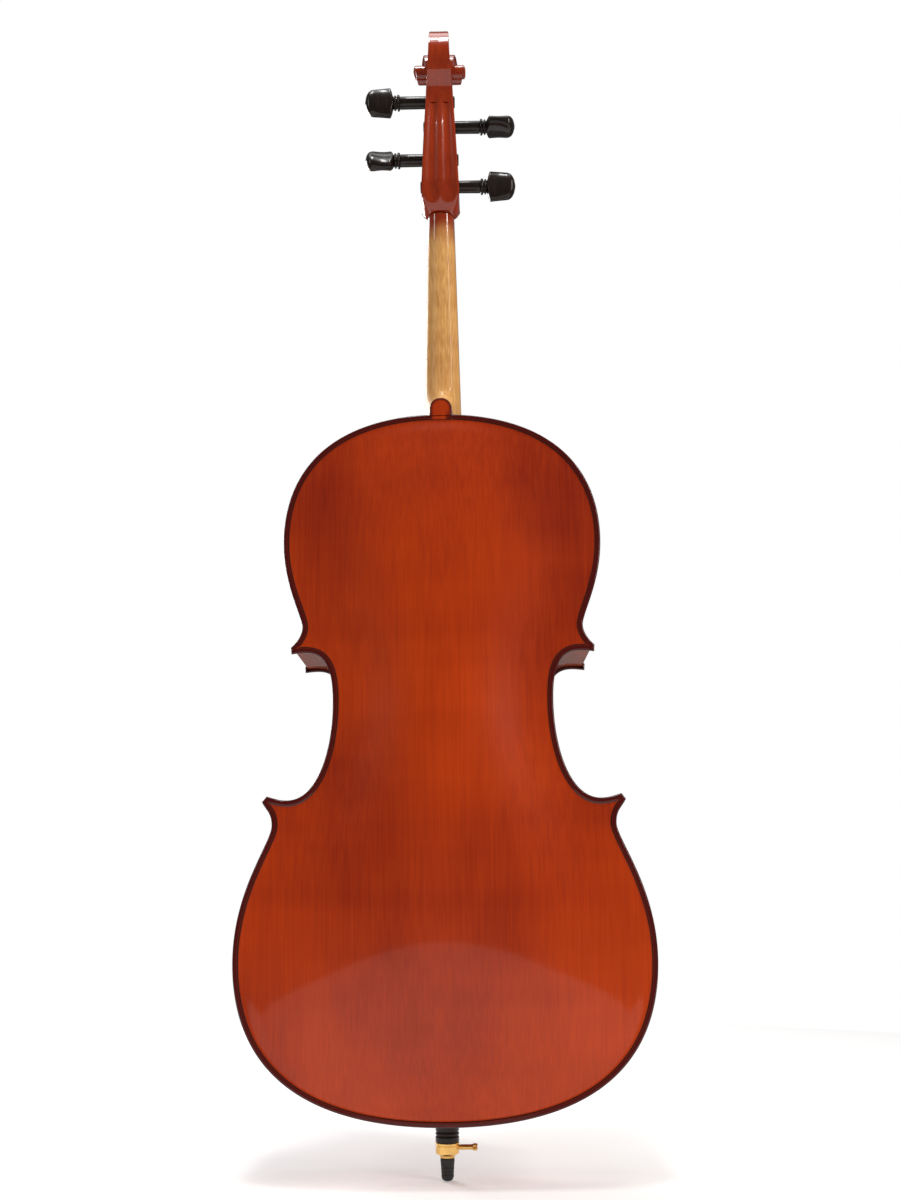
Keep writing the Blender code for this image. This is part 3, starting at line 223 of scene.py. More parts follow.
def mitred(line, distance, closed=False):
    """The line moved inward by a distance, each point along the bisector of its two sides."""
    if closed:
        before, after = np.roll(line, 1, axis=0), np.roll(line, -1, axis=0)
    else:
        before = np.vstack([2 * line[0] - line[1], line[:-1]])
        after = np.vstack([line[1:], 2 * line[-1] - line[-2]])
        for end, inner in ((0, 1), (-1, -2)):
            if abs(line[end, 0]) < 1e-9:
                mirrored = line[inner] * np.array([-1.0, 1.0])
                (before if end == 0 else after)[end] = mirrored
    into = line - before
    out = after - line
    into /= np.linalg.norm(into, axis=1)[:, None]
    out /= np.linalg.norm(out, axis=1)[:, None]
    n_in = np.column_stack([into[:, 1], -into[:, 0]])
    n_out = np.column_stack([out[:, 1], -out[:, 0]])
    together = 1 + np.sum(n_in * n_out, axis=1)
    return line + distance * (n_in + n_out) / np.maximum(together, 0.6)[:, None]


def bout_half(z):
    """Half-width that the arching follows: the bouts joined smoothly past the corners."""
    between_up = 0.5 - 0.5 * np.cos(np.pi * np.clip((UPPER[1] - z) / (UPPER[1] - WAIST[1]), 0, 1))
    between_low = 0.5 - 0.5 * np.cos(np.pi * np.clip((WAIST[1] - z) / (WAIST[1] - LOWER[1]), 0, 1))
    wide = UPPER[0] + (WAIST[0] - UPPER[0]) * between_up + (LOWER[0] - WAIST[0]) * between_low
    past_top = np.clip((z - UPPER[1]) / (TOP - UPPER[1]), 0, 1)
    past_low = np.clip((LOWER[1] - z) / (LOWER[1] - BOTTOM), 0, 1)
    return wide * np.sqrt(1 - past_top ** 2.3) * np.sqrt(1 - past_low ** 2.3)


def arch(x, z):
    """A bell across the width times a long flat hump up the length."""
    half = np.maximum(bout_half(z) - 0.009, 1e-6)
    across = np.clip(np.abs(x) / half, 0, 1)
    along = np.clip(np.abs(z - (TOP + BOTTOM) / 2) / (LENGTH / 2 - 0.009), 0, 1)
    return ARCH_RISE * (1 - along ** 2.6) * (0.5 + 0.5 * np.cos(np.pi * across ** 1.15))


def smooth(t):
    """An S-shaped step: 0 up to 0, 1 from 1 on, level at both ends."""
    t = np.clip(t, 0.0, 1.0)
    return t * t * (3 - 2 * t)


def channel(distance):
    """Depth of the scoop that runs inside the edge."""
    return 0.0009 * smooth((distance - 0.003) / 0.005) * (1 - smooth((distance - 0.008) / 0.013))


def nearest(points, line):
    """Distance from each (x, z) point to the closed line's sides."""
    after = np.roll(line, -1, axis=0)
    side = after - line
    length = np.sum(side ** 2, axis=1)
    found = np.empty(len(points))
    for start in range(0, len(points), 2000):
        part = points[start:start + 2000]
        off = part[:, None, :] - line[None]
        share = np.clip(np.sum(off * side[None], axis=2) / length[None], 0, 1)
        gap = off - share[..., None] * side[None]
        found[start:start + 2000] = np.sqrt(np.min(np.sum(gap ** 2, axis=2), axis=1))
    return found


def grid_quads(rows, columns):
    """Quads of a grid of points whose last column joins the first."""
    r = np.arange(rows - 1)[:, None] * columns
    c = np.arange(columns)
    d = (c + 1) % columns
    return np.stack([r + c, r + d, r + columns + d, r + columns + c], axis=-1).reshape(-1, 4)


def lay_mesh(name, points, quads, sharp=40.0, from_edge=None, caps=()):
    """One closed piece from points and quads: doubles merged, normals turned outward."""
    mesh = bpy.data.meshes.new(name)
    mesh.from_pydata(points.reshape(-1, 3).tolist(), [], quads.tolist() + list(caps))
    if from_edge is not None:
        layer = mesh.attributes.new("from_edge", "FLOAT", "POINT")
        layer.data.foreach_set("value", np.asarray(from_edge, dtype=np.float32).ravel())
    work = bmesh.new()
    work.from_mesh(mesh)
    bmesh.ops.remove_doubles(work, verts=work.verts, dist=2e-6)
    bmesh.ops.dissolve_degenerate(work, edges=work.edges, dist=1e-7)
    bmesh.ops.recalc_face_normals(work, faces=work.faces)
    work.to_mesh(mesh)
    work.free()
    mesh.shade_smooth()
    mesh.set_sharp_from_angle(angle=math.radians(sharp))
    piece = bpy.data.objects.new(name, mesh)
    bpy.context.scene.collection.objects.link(piece)
    return piece


def paint(piece, material):
    """Leaves a piece or a node with this one material."""
    piece.data.materials.clear()
    piece.data.materials.append(material)


def dress(piece, material, slot, *nodes, body="instrument"):
    """Gives a finished piece its material and its body, and hides the nodes it stands for; the slot is not
    used.
    """
    paint(piece, material)
    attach(piece, body)
    if nodes:
        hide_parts(*nodes)


# The edge's round, from the flat underside out to the rim and back up on the arching's side:
# each pair is how far in from the outline, and how far above the plate's outer face.
EDGE_PROFILE = np.array([
    (0.0034, -0.0045), (0.0022, -0.0045), (0.0012, -0.0045), (0.0005, -0.0042), (0.0001, -0.0036),
    (0.0, -0.0027), (0.0001, -0.0017), (0.0004, -0.0009), (0.0010, -0.0003), (0.0018, 0.0),
    (0.0026, 0.0), (0.0034, -0.00015)])
TO_INNER = np.linspace(0.0, 1.0, 13)[1:]
TO_SPINE = np.linspace(0.0, 1.0, 15)[1:]
INNER_WIDE = 0.84
INNER_TALL = 0.95


def corner_end(start, stop):
    """The short straight end of a corner, in five steps."""
    return np.array(start) + (np.array(stop) - np.array(start)) * np.linspace(0, 1, 6)[:-1, None]


def treble_half():
    """The outline's treble side as curves, from the top centre round both corners to the bottom."""
    return [*upper_curve(), corner_end(UPPER_TIP, UPPER_TIP_LOW), *waist_curve(),
            corner_end(LOWER_TIP, LOWER_TIP_LOW), *lower_curve()]


def inner_curve(pieces):
    """A smooth loop well inside the outline, matched to it point for point: its heights are read
    off a few levels, its half-widths are a share of the arching's."""
    levels = np.array([TOP, UPPER[1], TOP - 0.2250, TOP - 0.2445, TOP - 0.2475, TOP - 0.2560, WAIST[1],
                       BOTTOM + 0.3235, BOTTOM + 0.3120, BOTTOM + 0.3090, BOTTOM + 0.2970, LOWER[1], BOTTOM])
    starts = np.cumsum([0] + [len(p) for p in pieces])
    line = whole_line(pieces, (0.0, BOTTOM))
    index = np.arange(len(line))
    z = np.interp(index, starts, levels)
    inner = np.column_stack([INNER_WIDE * bout_half(z), z])
    for stretch, level in ((slice(None, starts[1]), UPPER[1]), (slice(starts[-2], None), LOWER[1])):
        inner[stretch, 0] = INNER_WIDE * line[stretch, 0]
        inner[stretch, 1] = level + INNER_TALL * (line[stretch, 1] - level)
    return inner


def plate_surface(name, side):
    """Rows run in from the edge: its rounded profile, then to the inner loop, then to the spine."""
    pieces = treble_half()
    treble = whole_line(pieces, (0.0, BOTTOM))
    inner = inner_curve(pieces)
    flip = np.array([-1.0, 1.0])
    outline = np.vstack([treble, treble[1:-1][::-1] * flip])
    inner = np.vstack([inner, inner[1:-1][::-1] * flip])
    ring = mitred(outline, EDGE_PROFILE[-1, 0], closed=True)
    ring[0, 0] = ring[len(treble) - 1, 0] = 0.0
    to_inner = ring + (inner - ring) * TO_INNER[:, None, None]
    to_spine = inner * np.stack([1 - TO_SPINE, np.ones(len(TO_SPINE))], axis=-1)[:, None]
    plan = np.concatenate([to_inner, to_spine])
    distance = nearest(plan.reshape(-1, 2), outline).reshape(plan.shape[:2])
    rise = arch(plan[..., 0], plan[..., 1])
    outer = HALF_DEPTH + rise - channel(distance)
    under = HALF_DEPTH - EDGE_THICK + rise
    inset, lift = np.repeat(EDGE_PROFILE.T[..., None], len(outline), axis=2)
    edge_plan = np.array([mitred(outline, inward, closed=True) for inward in EDGE_PROFILE[:, 0]])
    all_plan = np.concatenate([plan[::-1], edge_plan, plan])
    all_y = np.concatenate([under[::-1], HALF_DEPTH + lift, outer])
    from_edge = np.concatenate([distance[::-1], inset, distance])
    points = np.stack([all_plan[..., 0], side * all_y, all_plan[..., 1]], axis=-1)
    return lay_mesh(name, points, grid_quads(len(points), len(outline)), 60.0, from_edge)


def wood_group():
    """Grain, flame and cloudy stain for any wood here; darker towards an edge where asked."""
    group = bpy.data.node_groups.new("wood_figure", "ShaderNodeTree")
    socket = group.interface.new_socket
    for label, kind, value in (
        ("Light", "NodeSocketColor", (0.6, 0.3, 0.1, 1)),
        ("Dark", "NodeSocketColor", (0.2, 0.05, 0.01, 1)),
        ("Grain", "NodeSocketFloat", 0.3), ("Grain Scale", "NodeSocketFloat", 260.0),
        ("Flame", "NodeSocketFloat", 0.2), ("Flame Scale", "NodeSocketFloat", 9.0),
        ("Cloud", "NodeSocketFloat", 0.4), ("Edge Color", "NodeSocketColor", (0.1, 0.01, 0.0, 1)),
        ("Edge", "NodeSocketFloat", 0.0), ("Gloss", "NodeSocketFloat", 0.25),
    ):
        made = socket(name=label, in_out="INPUT", socket_type=kind)
        made.default_value = value
    for label, kind in (("Color", "NodeSocketColor"), ("Roughness", "NodeSocketFloat"),
                        ("Height", "NodeSocketFloat")):
        socket(name=label, in_out="OUTPUT", socket_type=kind)
    nodes, links = group.nodes, group.links
    given, out = nodes.new("NodeGroupInput"), nodes.new("NodeGroupOutput")
    place = nodes.new("ShaderNodeTexCoord")

    def feed(node, label, value):
        """A number is set on the socket; anything else is linked to it."""
        if isinstance(value, (int, float)):
            node.inputs[label].default_value = value
        else:
            links.new(value, node.inputs[label])

    def maths(kind, *values):
        """The result of one sum."""
        node = nodes.new("ShaderNodeMath")
        node.operation = kind
        for index, value in enumerate(values):
            feed(node, index, value)
        return node.outputs[0]

    def blend(share, a, b):
        """Colour a where the share is 0, b where it is 1."""
        node = nodes.new("ShaderNodeMix")
        node.data_type = "RGBA"
        for label, value in (("Factor", share), (6, a), (7, b)):
            feed(node, label, value)
        return node.outputs[2]

    def noise(stretch, scale, detail):
        """Noise on the piece's own coordinates, drawn out along the axes with a small stretch."""
        drawn_out = nodes.new("ShaderNodeMapping")
        drawn_out.inputs["Scale"].default_value = stretch
        links.new(place.outputs["Object"], drawn_out.inputs["Vector"])
        node = nodes.new("ShaderNodeTexNoise")
        node.inputs["Detail"].default_value = detail
        feed(node, "Scale", scale)
        links.new(drawn_out.outputs["Vector"], node.inputs["Vector"])
        return node.outputs["Fac"]

    def swing(pattern, strength):
        """A pattern made to swing either side of nothing."""
        return maths("MULTIPLY", maths("SUBTRACT", pattern, 0.5), strength)

    fibre = noise((1.0, 1.0, 0.02), given.outputs["Grain Scale"], 4.0)
    pores = noise((6.0, 6.0, 0.35), 160.0, 2.0)
    flame = noise((0.22, 0.22, 3.2), given.outputs["Flame Scale"], 2.0)
    cloud = noise((1.0, 0.4, 0.6), 5.0, 3.0)
    figure = maths("ADD", swing(fibre, given.outputs["Grain"]), swing(flame, given.outputs["Flame"]))
    total = maths("ADD", figure, swing(cloud, given.outputs["Cloud"]))
    clamp = nodes.new("ShaderNodeClamp")
    links.new(maths("MULTIPLY_ADD", total, 2.0, 0.5), clamp.inputs["Value"])
    color = blend(clamp.outputs["Result"], given.outputs["Light"], given.outputs["Dark"])
    links.new(blend(given.outputs["Edge"], color, given.outputs["Edge Color"]), out.inputs["Color"])
    links.new(maths("ADD", given.outputs["Gloss"], swing(cloud, 0.10)), out.inputs["Roughness"])
    relief = maths("ADD", maths("MULTIPLY", fibre, 0.6), maths("MULTIPLY", pores, 0.4))
    links.new(relief, out.inputs["Height"])
    return group


WOOD = wood_group()


def place_figure(nodes, light, dark, grain, grain_scale, flame, flame_scale, cloud, gloss):
    """One use of the wood figure in a material, with that wood's own values."""
    figure = nodes.new("ShaderNodeGroup")
    figure.node_tree = WOOD
    for label, value in (
        ("Light", (*light, 1)), ("Dark", (*dark, 1)), ("Grain", grain), ("Grain Scale", grain_scale),
        ("Flame", flame), ("Flame Scale", flame_scale), ("Cloud", cloud), ("Gloss", gloss),
    ):
        figure.inputs[label].default_value = value
    return figure


def wood(name, light, dark, grain=0.3, grain_scale=260.0, flame=0.2, flame_scale=9.0, cloud=0.4, gloss=0.25,
         edge_color=None, coat=0.0, coat_roughness=0.05, bump=0.05):
    """A wood finish: the shared figure, and where wanted a dark edge and a clear coat."""
    material = bpy.data.materials.new(name)
    material.use_nodes = True
    nodes, links = material.node_tree.nodes, material.node_tree.links
    shader = nodes["Principled BSDF"]
    shader.inputs["Coat Weight"].default_value = coat
    shader.inputs["Coat Roughness"].default_value = coat_roughness
    shader.inputs["Specular IOR Level"].default_value = 0.12 if coat else 0.4
    figure = place_figure(nodes, light, dark, grain, grain_scale, flame, flame_scale, cloud, gloss)
    if edge_color:
        figure.inputs["Edge Color"].default_value = (*edge_color, 1)
        held = nodes.new("ShaderNodeAttribute")
        held.attribute_name = "from_edge"
        band = nodes.new("ShaderNodeMapRange")
        band.interpolation_type = "SMOOTHSTEP"
        band.inputs["From Min"].default_value = EDGE_FULL
        band.inputs["From Max"].default_value = EDGE_START
        band.inputs["To Min"].default_value = 1.0
        band.inputs["To Max"].default_value = 0.0
        links.new(held.outputs["Fac"], band.inputs["Value"])
        links.new(band.outputs["Result"], figure.inputs["Edge"])
    links.new(figure.outputs["Color"], shader.inputs["Base Color"])
    links.new(figure.outputs["Roughness"], shader.inputs["Roughness"])
    lift = nodes.new("ShaderNodeBump")
    lift.inputs["Strength"].default_value = bump
    lift.inputs["Distance"].default_value = 0.0004
    links.new(figure.outputs["Height"], lift.inputs["Height"])
    links.new(lift.outputs["Normal"], shader.inputs["Normal"])
    return material


RED_LIGHT = (0.47, 0.042, 0.001)
RED_DARK = (0.20, 0.010, 0.0005)
EDGE_RED = (0.060, 0.0015, 0.0003)
EDGE_FULL = 0.0035
EDGE_START = 0.0085

back_varnish = wood("back_varnish", RED_LIGHT, RED_DARK, grain=0.35, grain_scale=420.0, flame=0.16,
                    cloud=1.1, gloss=0.34, edge_color=EDGE_RED, coat=0.40, coat_roughness=0.06)

back_plate = plate_surface("back_plate_arched", 1)

BUTTON_HALF = 0.012
BUTTON_TOP = back_high[2]


def button_surface():
    """A half disc with straight sides: its rounded rim runs round, then closes to a middle line."""
    turn = np.linspace(-np.pi / 2, np.pi / 2, 33)
    centre = np.array([0.0, BUTTON_TOP - BUTTON_HALF])
    arc = centre + BUTTON_HALF * np.column_stack([np.sin(turn), np.cos(turn)])
    foot = TOP - 0.006
    line = np.vstack([[(-BUTTON_HALF, foot)], arc, [(BUTTON_HALF, foot)]])
    rows = []
    for inset, drop in ((0.0, -EDGE_THICK), (0.0, -0.0006), (0.0003, -0.0002), (0.0009, 0.0), (0.004, 0.0)):
        moved = centre + (line - centre) * (1 - inset / BUTTON_HALF)
        moved[[0, -1], 1] = foot
        rows.append(np.column_stack([moved[:, 0], np.full(len(moved), HALF_DEPTH + drop), moved[:, 1]]))
    low = rows[0] * np.array([0.0, 1.0, 1.0])
    high = rows[-1] * np.array([0.0, 1.0, 1.0])
    points = np.array([low, *rows, high])
    edge = np.array([0.0, 0.0, 0.001, 0.002, 0.004, 0.0075, 0.012])[:, None] * np.ones(len(line))
    return lay_mesh("button", points, grid_quads(len(points), len(line)), 40.0, edge)


dress(button_surface(), back_varnish, "varnished_maple")
dress(back_plate, back_varnish, "varnished_maple", "back_plate")

# ---------------------------------------------------------------- purfling
# A dark inlaid line a few millimetres inside the edge of both plates, mitred in the corners
# into short points. It is a thin strip let in flush, here a hair proud of the varnish.

PURFLING_IN = 0.0052
PURFLING_WIDE = 0.0011
PURFLING_DEEP = 0.0004
PURFLING_PROUD = 0.00005


def crossing(first, second):
    """Where two lines first cross, as a fractional index on each: side by side, the shares along
    both sides that bring them together are solved from the cross products."""
    for i in range(len(first) - 1):
        step = first[i + 1] - first[i]
        steps = np.diff(second, axis=0)
        apart = second[:-1] - first[i]
        flat = step[0] * steps[:, 1] - step[1] * steps[:, 0]
        flat = np.where(np.abs(flat) < 1e-15, 1e-15, flat)
        s = (apart[:, 0] * steps[:, 1] - apart[:, 1] * steps[:, 0]) / flat
        t = (apart[:, 0] * step[1] - apart[:, 1] * step[0]) / flat
        hit = np.flatnonzero((s >= 0) & (s <= 1) & (t >= 0) & (t <= 1))
        if len(hit):
            return i + s[hit[0]], hit[0] + t[hit[0]]


def between(line, start, stop):
    """The part of a line between two fractional indices."""
    index = np.concatenate([[start], np.arange(math.floor(start) + 1, math.ceil(stop)), [stop]])
    base = np.arange(len(line))
    return np.column_stack([np.interp(index, base, line[:, 0]), np.interp(index, base, line[:, 1])])


EDGE_LINES = {
    "upper": whole_line(upper_curve(), UPPER_TIP),
    "waist": whole_line(waist_curve(), LOWER_TIP),
    "lower": whole_line(lower_curve(), (0.0, BOTTOM)),
}


def corner_stops(inset):
    """Where the edge lines, moved in by an amount, start and stop so that they meet in the corners."""
    moved = {name: mitred(line, inset) for name, line in EDGE_LINES.items()}
    up_bout, up_waist = crossing(moved["upper"], moved["waist"])
    low_waist, low_bout = crossing(moved["waist"], moved["lower"])
    return {"upper": (0.0, up_bout), "waist": (up_waist, low_waist),
            "lower": (low_bout, len(moved["lower"]) - 1.0)}


def purfling(name, side):
    """Three strips each side: the strip's four corners, each carried along its edge line at its own
    distance in and its own height over the plate's skin."""
    outside, inside = PURFLING_IN, PURFLING_IN + PURFLING_WIDE
    section = ((outside, -PURFLING_DEEP), (outside, PURFLING_PROUD),
               (inside, PURFLING_PROUD), (inside, -PURFLING_DEEP))
    stops = corner_stops(PURFLING_IN + PURFLING_WIDE / 2)
    points, quads, count = [], [], 0
    for flip in (1.0, -1.0):
        for part, line in EDGE_LINES.items():
            corners = []
            for inset, proud in section:
                x, z = between(mitred(line, inset), *stops[part]).T
                skin = HALF_DEPTH + arch(x, z) - channel(inset)
                corners.append(np.column_stack([flip * x, side * (skin + proud), z]))
            strip = np.stack(corners, axis=1)
            ends = np.array([[0, 1, 2, 3], [-4, -3, -2, -1]]) % (4 * len(strip))
            points.append(strip.reshape(-1, 3))
            quads += [grid_quads(len(strip), 4) + count, ends + count]
            count += 4 * len(strip)
    return lay_mesh(name, np.vstack(points), np.vstack(quads), 50.0)


inlay = wood("inlay_line", (0.016, 0.004, 0.003), (0.007, 0.002, 0.002), grain=0.2, cloud=0.2, gloss=0.3,
             coat=0.6)
dress(purfling("back_purfling", 1), inlay, "varnished_maple")

# ---------------------------------------------------------------- ribs
# Six thin maple strips bent round the mould, flame upright across them, lapped at the corners.
# Their colour is painted paler than the plates, a painted highlight for the light that strikes along them.

OVERHANG = 0.0035
RIB_THICK = 0.0015
RIB_HALF = HALF_DEPTH - EDGE_THICK - 0.0002
RIB_BEVEL = 0.0003

# Rib varnish whose base colour is painted paler all over, a painted highlight for light running along the
# ribs.
rib_varnish_painted_highlight = wood("rib_varnish_painted_highlight", (0.44, 0.075, 0.012), (0.20, 0.020, 0.002), grain=0.25, grain_scale=300.0,
                   flame=0.5, flame_scale=18.0, cloud=0.35, gloss=0.2, coat=0.9, coat_roughness=0.06)


def tube(name, points, sharp=40.0):
    """A piece from rows of closed rings, with a face over the first ring and the last."""
    size, wide = points.shape[:2]
    caps = (list(range(wide)), list(range((size - 1) * wide, size * wide)))
    return lay_mesh(name, points, grid_quads(size, wide), sharp, caps=caps)


def rib_surface(name, part, flip):
    """The rib's bevelled section carried along its edge line, from lap to lap."""
    outer = {key: mitred(line, OVERHANG) for key, line in EDGE_LINES.items()}
    lap = {key: mitred(line, OVERHANG + RIB_THICK + 0.0004) for key, line in EDGE_LINES.items()}
    up_bout, up_waist = crossing(lap["upper"], outer["waist"])
    low_bout, low_waist = crossing(lap["lower"], outer["waist"])
    span = {"upper": (0.0, up_bout), "waist": (up_waist, low_waist),
            "lower": (low_bout, len(outer["lower"]) - 1.0)}[part]
    out = between(outer[part], *span)
    into = between(mitred(EDGE_LINES[part], OVERHANG + RIB_THICK), *span)
    if part != "waist":
        middle = 0 if part == "upper" else -1
        out[middle, 0] = into[middle, 0] = 0.0001
    shoulder = out + (into - out) * 0.2
    section = [(out, -RIB_HALF + RIB_BEVEL), (out, RIB_HALF - RIB_BEVEL), (shoulder, RIB_HALF),
               (into, RIB_HALF), (into, -RIB_HALF), (shoulder, -RIB_HALF)]
    ring = [np.column_stack([flip * line[:, 0], np.full(len(line), y), line[:, 1]]) for line, y in section]
    return tube(name, np.stack(ring, axis=1))


for part in EDGE_LINES:
    for label, flip in (("bass", -1.0), ("treble", 1.0)):
        rib = rib_surface(f"rib_{part}_{label}_bent", part, flip)
        dress(rib, rib_varnish_painted_highlight, "varnished_maple", f"rib_{part}_{label}")

# ---------------------------------------------------------------- blocks, linings, bar and post
# Bare spruce inside the body: blocks at the ends and corners, linings along the rib edges,
# the bass bar under the top and the sound post between the plates.

bare_spruce = wood("bare_spruce", (0.74, 0.56, 0.34), (0.52, 0.34, 0.17), grain=0.9, grain_scale=180.0,
                   flame=0.0, cloud=0.2, gloss=0.7, bump=0.2)
for name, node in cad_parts.items():
    if name.startswith(("lining", "corner_block", "upper_block", "lower_block", "bass_bar", "sound_post")):
        paint(node, bare_spruce)

# ---------------------------------------------------------------- top plate
# Straight-grained spruce, book-matched, arched like the back and cut with two f-holes.
# The holes' stems swell and narrow between a small upper eye and a larger lower eye.

BRIDGE_Z = TOP - 0.400
F_TALL = 0.139
F_UPPER_X, F_UPPER_R = 0.05425, 0.00525
F_LOWER_X, F_LOWER_R = 0.094, 0.0070
F_NARROW, F_WIDE = 0.0009, 0.0038


def f_outline():
    """Middle line as three curves, widened by a swelling width, and the two round eyes."""
    top, low = F_TALL / 2, -F_TALL / 2
    stem_top = (F_UPPER_X + 0.014, top - 0.020)
    stem_low = (F_LOWER_X - 0.017, low + 0.020)
    upper_eye, lower_eye = (F_UPPER_X, top - 0.014), (F_LOWER_X, low + 0.017)
    line = np.vstack([
        bezier(upper_eye, (F_UPPER_X, top + 0.001), (stem_top[0] - 0.003, top + 0.002), stem_top, 16),
        bezier(stem_top, (stem_top[0] + 0.002, 0.018), (stem_low[0] - 0.002, -0.018), stem_low, 20),
        bezier(stem_low, (stem_low[0] + 0.003, low - 0.002), (F_LOWER_X, low - 0.001), lower_eye, 16),
        [lower_eye]])
    along = np.gradient(line, axis=0)
    along /= np.linalg.norm(along, axis=1)[:, None]
    wide = F_NARROW + (F_WIDE - F_NARROW) * np.sin(np.linspace(0, np.pi, len(line))) ** 2
    across = np.column_stack([along[:, 1], -along[:, 0]]) * wide[:, None]
    stem = np.vstack([line + across, (line - across)[::-1]])
    turn = np.linspace(0, 2 * np.pi, 28, endpoint=False)
    ring = np.column_stack([np.cos(turn), np.sin(turn)])
    return [stem, line[0] + F_UPPER_R * ring, line[-1] + F_LOWER_R * ring]


def upright_prism(name, loop, low, high):
    """A closed loop in (x, z) carried straight through in y."""
    return tube(name, np.array([np.insert(loop, 1, y, axis=1) for y in (low, high)]))


def cut_away(piece, cutters):
    """Takes the cutters out of the piece for good, then deletes them."""
    for cutter in cutters:
        cut = piece.modifiers.new("cut", "BOOLEAN")
        cut.operation = "DIFFERENCE"
        cut.solver = "EXACT"
        cut.object = cutter
    bpy.context.view_layer.update()
    finished = piece.evaluated_get(bpy.context.evaluated_depsgraph_get())
    shaped = bpy.data.meshes.new_from_object(finished)
    piece.modifiers.clear()
    piece.data = shaped
    for cutter in cutters:
        bpy.data.objects.remove(cutter)


top_plate = plate_surface("top_plate_arched", -1)
f_cuts = []
over_crown = -HALF_DEPTH - ARCH_RISE - 0.005
for flip in (-1.0, 1.0):
    for k, loop in enumerate(f_outline()):
        placed = loop * np.array([flip, 1.0]) + np.array([0.0, BRIDGE_Z])
        f_cuts.append(upright_prism(f"f_cut_{k}_{flip:+.0f}", placed, over_crown, -0.045))
cut_away(top_plate, f_cuts)

top_varnish = wood("top_varnish", (0.56, 0.105, 0.008), (0.27, 0.026, 0.002), grain=1.1, grain_scale=340.0,
                   flame=0.0, cloud=0.5, gloss=0.22, edge_color=EDGE_RED, coat=0.8, coat_roughness=0.08)
dress(top_plate, top_varnish, "varnished_spruce", "top_plate")
dress(purfling("top_purfling", -1), inlay, "varnished_spruce")

# ---------------------------------------------------------------- neck and head
# One piece of maple: heel, shaft, pegbox and scroll. The shaft is left bare and oiled where
# the hand runs; heel root and head are varnished like the body.

NUT_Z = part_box("fingerboard")[1][2] + 0.0003
BOARD_LENGTH = 0.580
BOARD_NUT_HALF = 0.016
BOARD_END_HALF = 0.031
BOARD_ROUND = 0.062
BOARD_EDGE = 0.0075
NECK_SLOPE = 0.1625
ROOT_OVER = 0.020
HEEL_HALF = 0.0215
HEEL_Y = HALF_DEPTH - EDGE_THICK - 0.0003
BASS = np.array([-1.0, 1.0, 1.0])


def board_half(z):
    """Half the fingerboard's width, in a straight taper from the nut."""
    return BOARD_NUT_HALF + (NUT_Z - z) / BOARD_LENGTH * (BOARD_END_HALF - BOARD_NUT_HALF)


def board_thick(z):
    """The board's edge plus the height of its crown, an arc over the half-width."""
    return BOARD_EDGE + board_half(z) ** 2 / (2 * BOARD_ROUND)


def board_top(z):
    """Where the crown's ridge runs: a straight slope past a point over the body's top edge."""
    return -HALF_DEPTH - ROOT_OVER - board_thick(TOP) + NECK_SLOPE * (z - TOP)


def neck_front(z):
    """The neck's flat glue face, a hair behind the board."""
    return board_top(z) + board_thick(z) + 0.0003


def button_half(z):
    """Half the button's width, straight and then a half circle."""
    above = np.clip((z - (BUTTON_TOP - BUTTON_HALF)) / BUTTON_HALF, 0, 1)
    return BUTTON_HALF * np.sqrt(1 - above ** 2)


def shaft_surface():
    """Levels up the neck: a tapered flat-backed heel that turns into a round-backed shaft."""
    up = np.concatenate([np.linspace(-0.007, 0.0175, 14), 0.0178 + 0.09 * np.linspace(0, 1, 40) ** 1.6,
                         np.linspace(0.115, NUT_Z - TOP, 30)])
    z = (TOP + up)[:, None]
    depth = np.sin(np.linspace(0, np.pi / 2, 15))[None]
    front = neck_front(z)
    rise = np.clip((z - BUTTON_TOP) / 0.078, 0, 1)
    shaft_back = board_top(z) + 0.029 + 0.004 * (NUT_Z - z) / (NUT_Z - TOP)
    back = HEEL_Y + (shaft_back - HEEL_Y) * (1 - (1 - rise) ** 3)
    heel = 1 - smooth((z - BUTTON_TOP) / 0.06)
    half = board_half(z) - 0.0003
    round_half = half * np.sqrt(np.clip(1 - depth ** 2.4, 0, 1))
    flat_half = HEEL_HALF + (button_half(np.minimum(z, BUTTON_TOP)) - HEEL_HALF) * depth
    halves = round_half + (flat_half - round_half) * heel
    y = front + (back - front) * depth
    side = np.stack([halves, y, z + 0 * depth], axis=-1)
    return tube("neck_shaft", np.concatenate([side, side[:, ::-1] * BASS], axis=1))


HEAD_LONG = 0.145
PEGBOX_NUT_HALF = 0.0235
PEGBOX_TOP_HALF = 0.0155
CHEEK = 0.0072
WELL_IN = 0.009
SCROLL_Y = -0.016
SCROLL_Z = NUT_Z + 0.177
EYE_R = 0.0072


def pegbox_half(up):
    """Half the box's width, in a straight taper from the nut to the scroll."""
    return PEGBOX_NUT_HALF + (PEGBOX_TOP_HALF - PEGBOX_NUT_HALF) * up / HEAD_LONG


def pegbox_front(up):
    """The front edges' plane, which leans back from the nut."""
    return board_top(NUT_Z) + 0.003 + 0.16 * up


def pegbox_back(up):
    """The back's ridge: a quick rise at the chin, then one slow swell."""
    swell = np.sin(np.pi * np.minimum(up / (HEAD_LONG * 1.25), 1.0))
    return -0.019 + 0.015 * np.minimum(up / 0.03, 1.0) ** 0.7 + 0.012 * swell


def fluted(share, deep):
    """Height across a back of two hollow flutes: 0 on the ridge and edges, -1 in each flute."""
    return -deep * np.sin(np.pi * np.abs(share)) ** 1.6


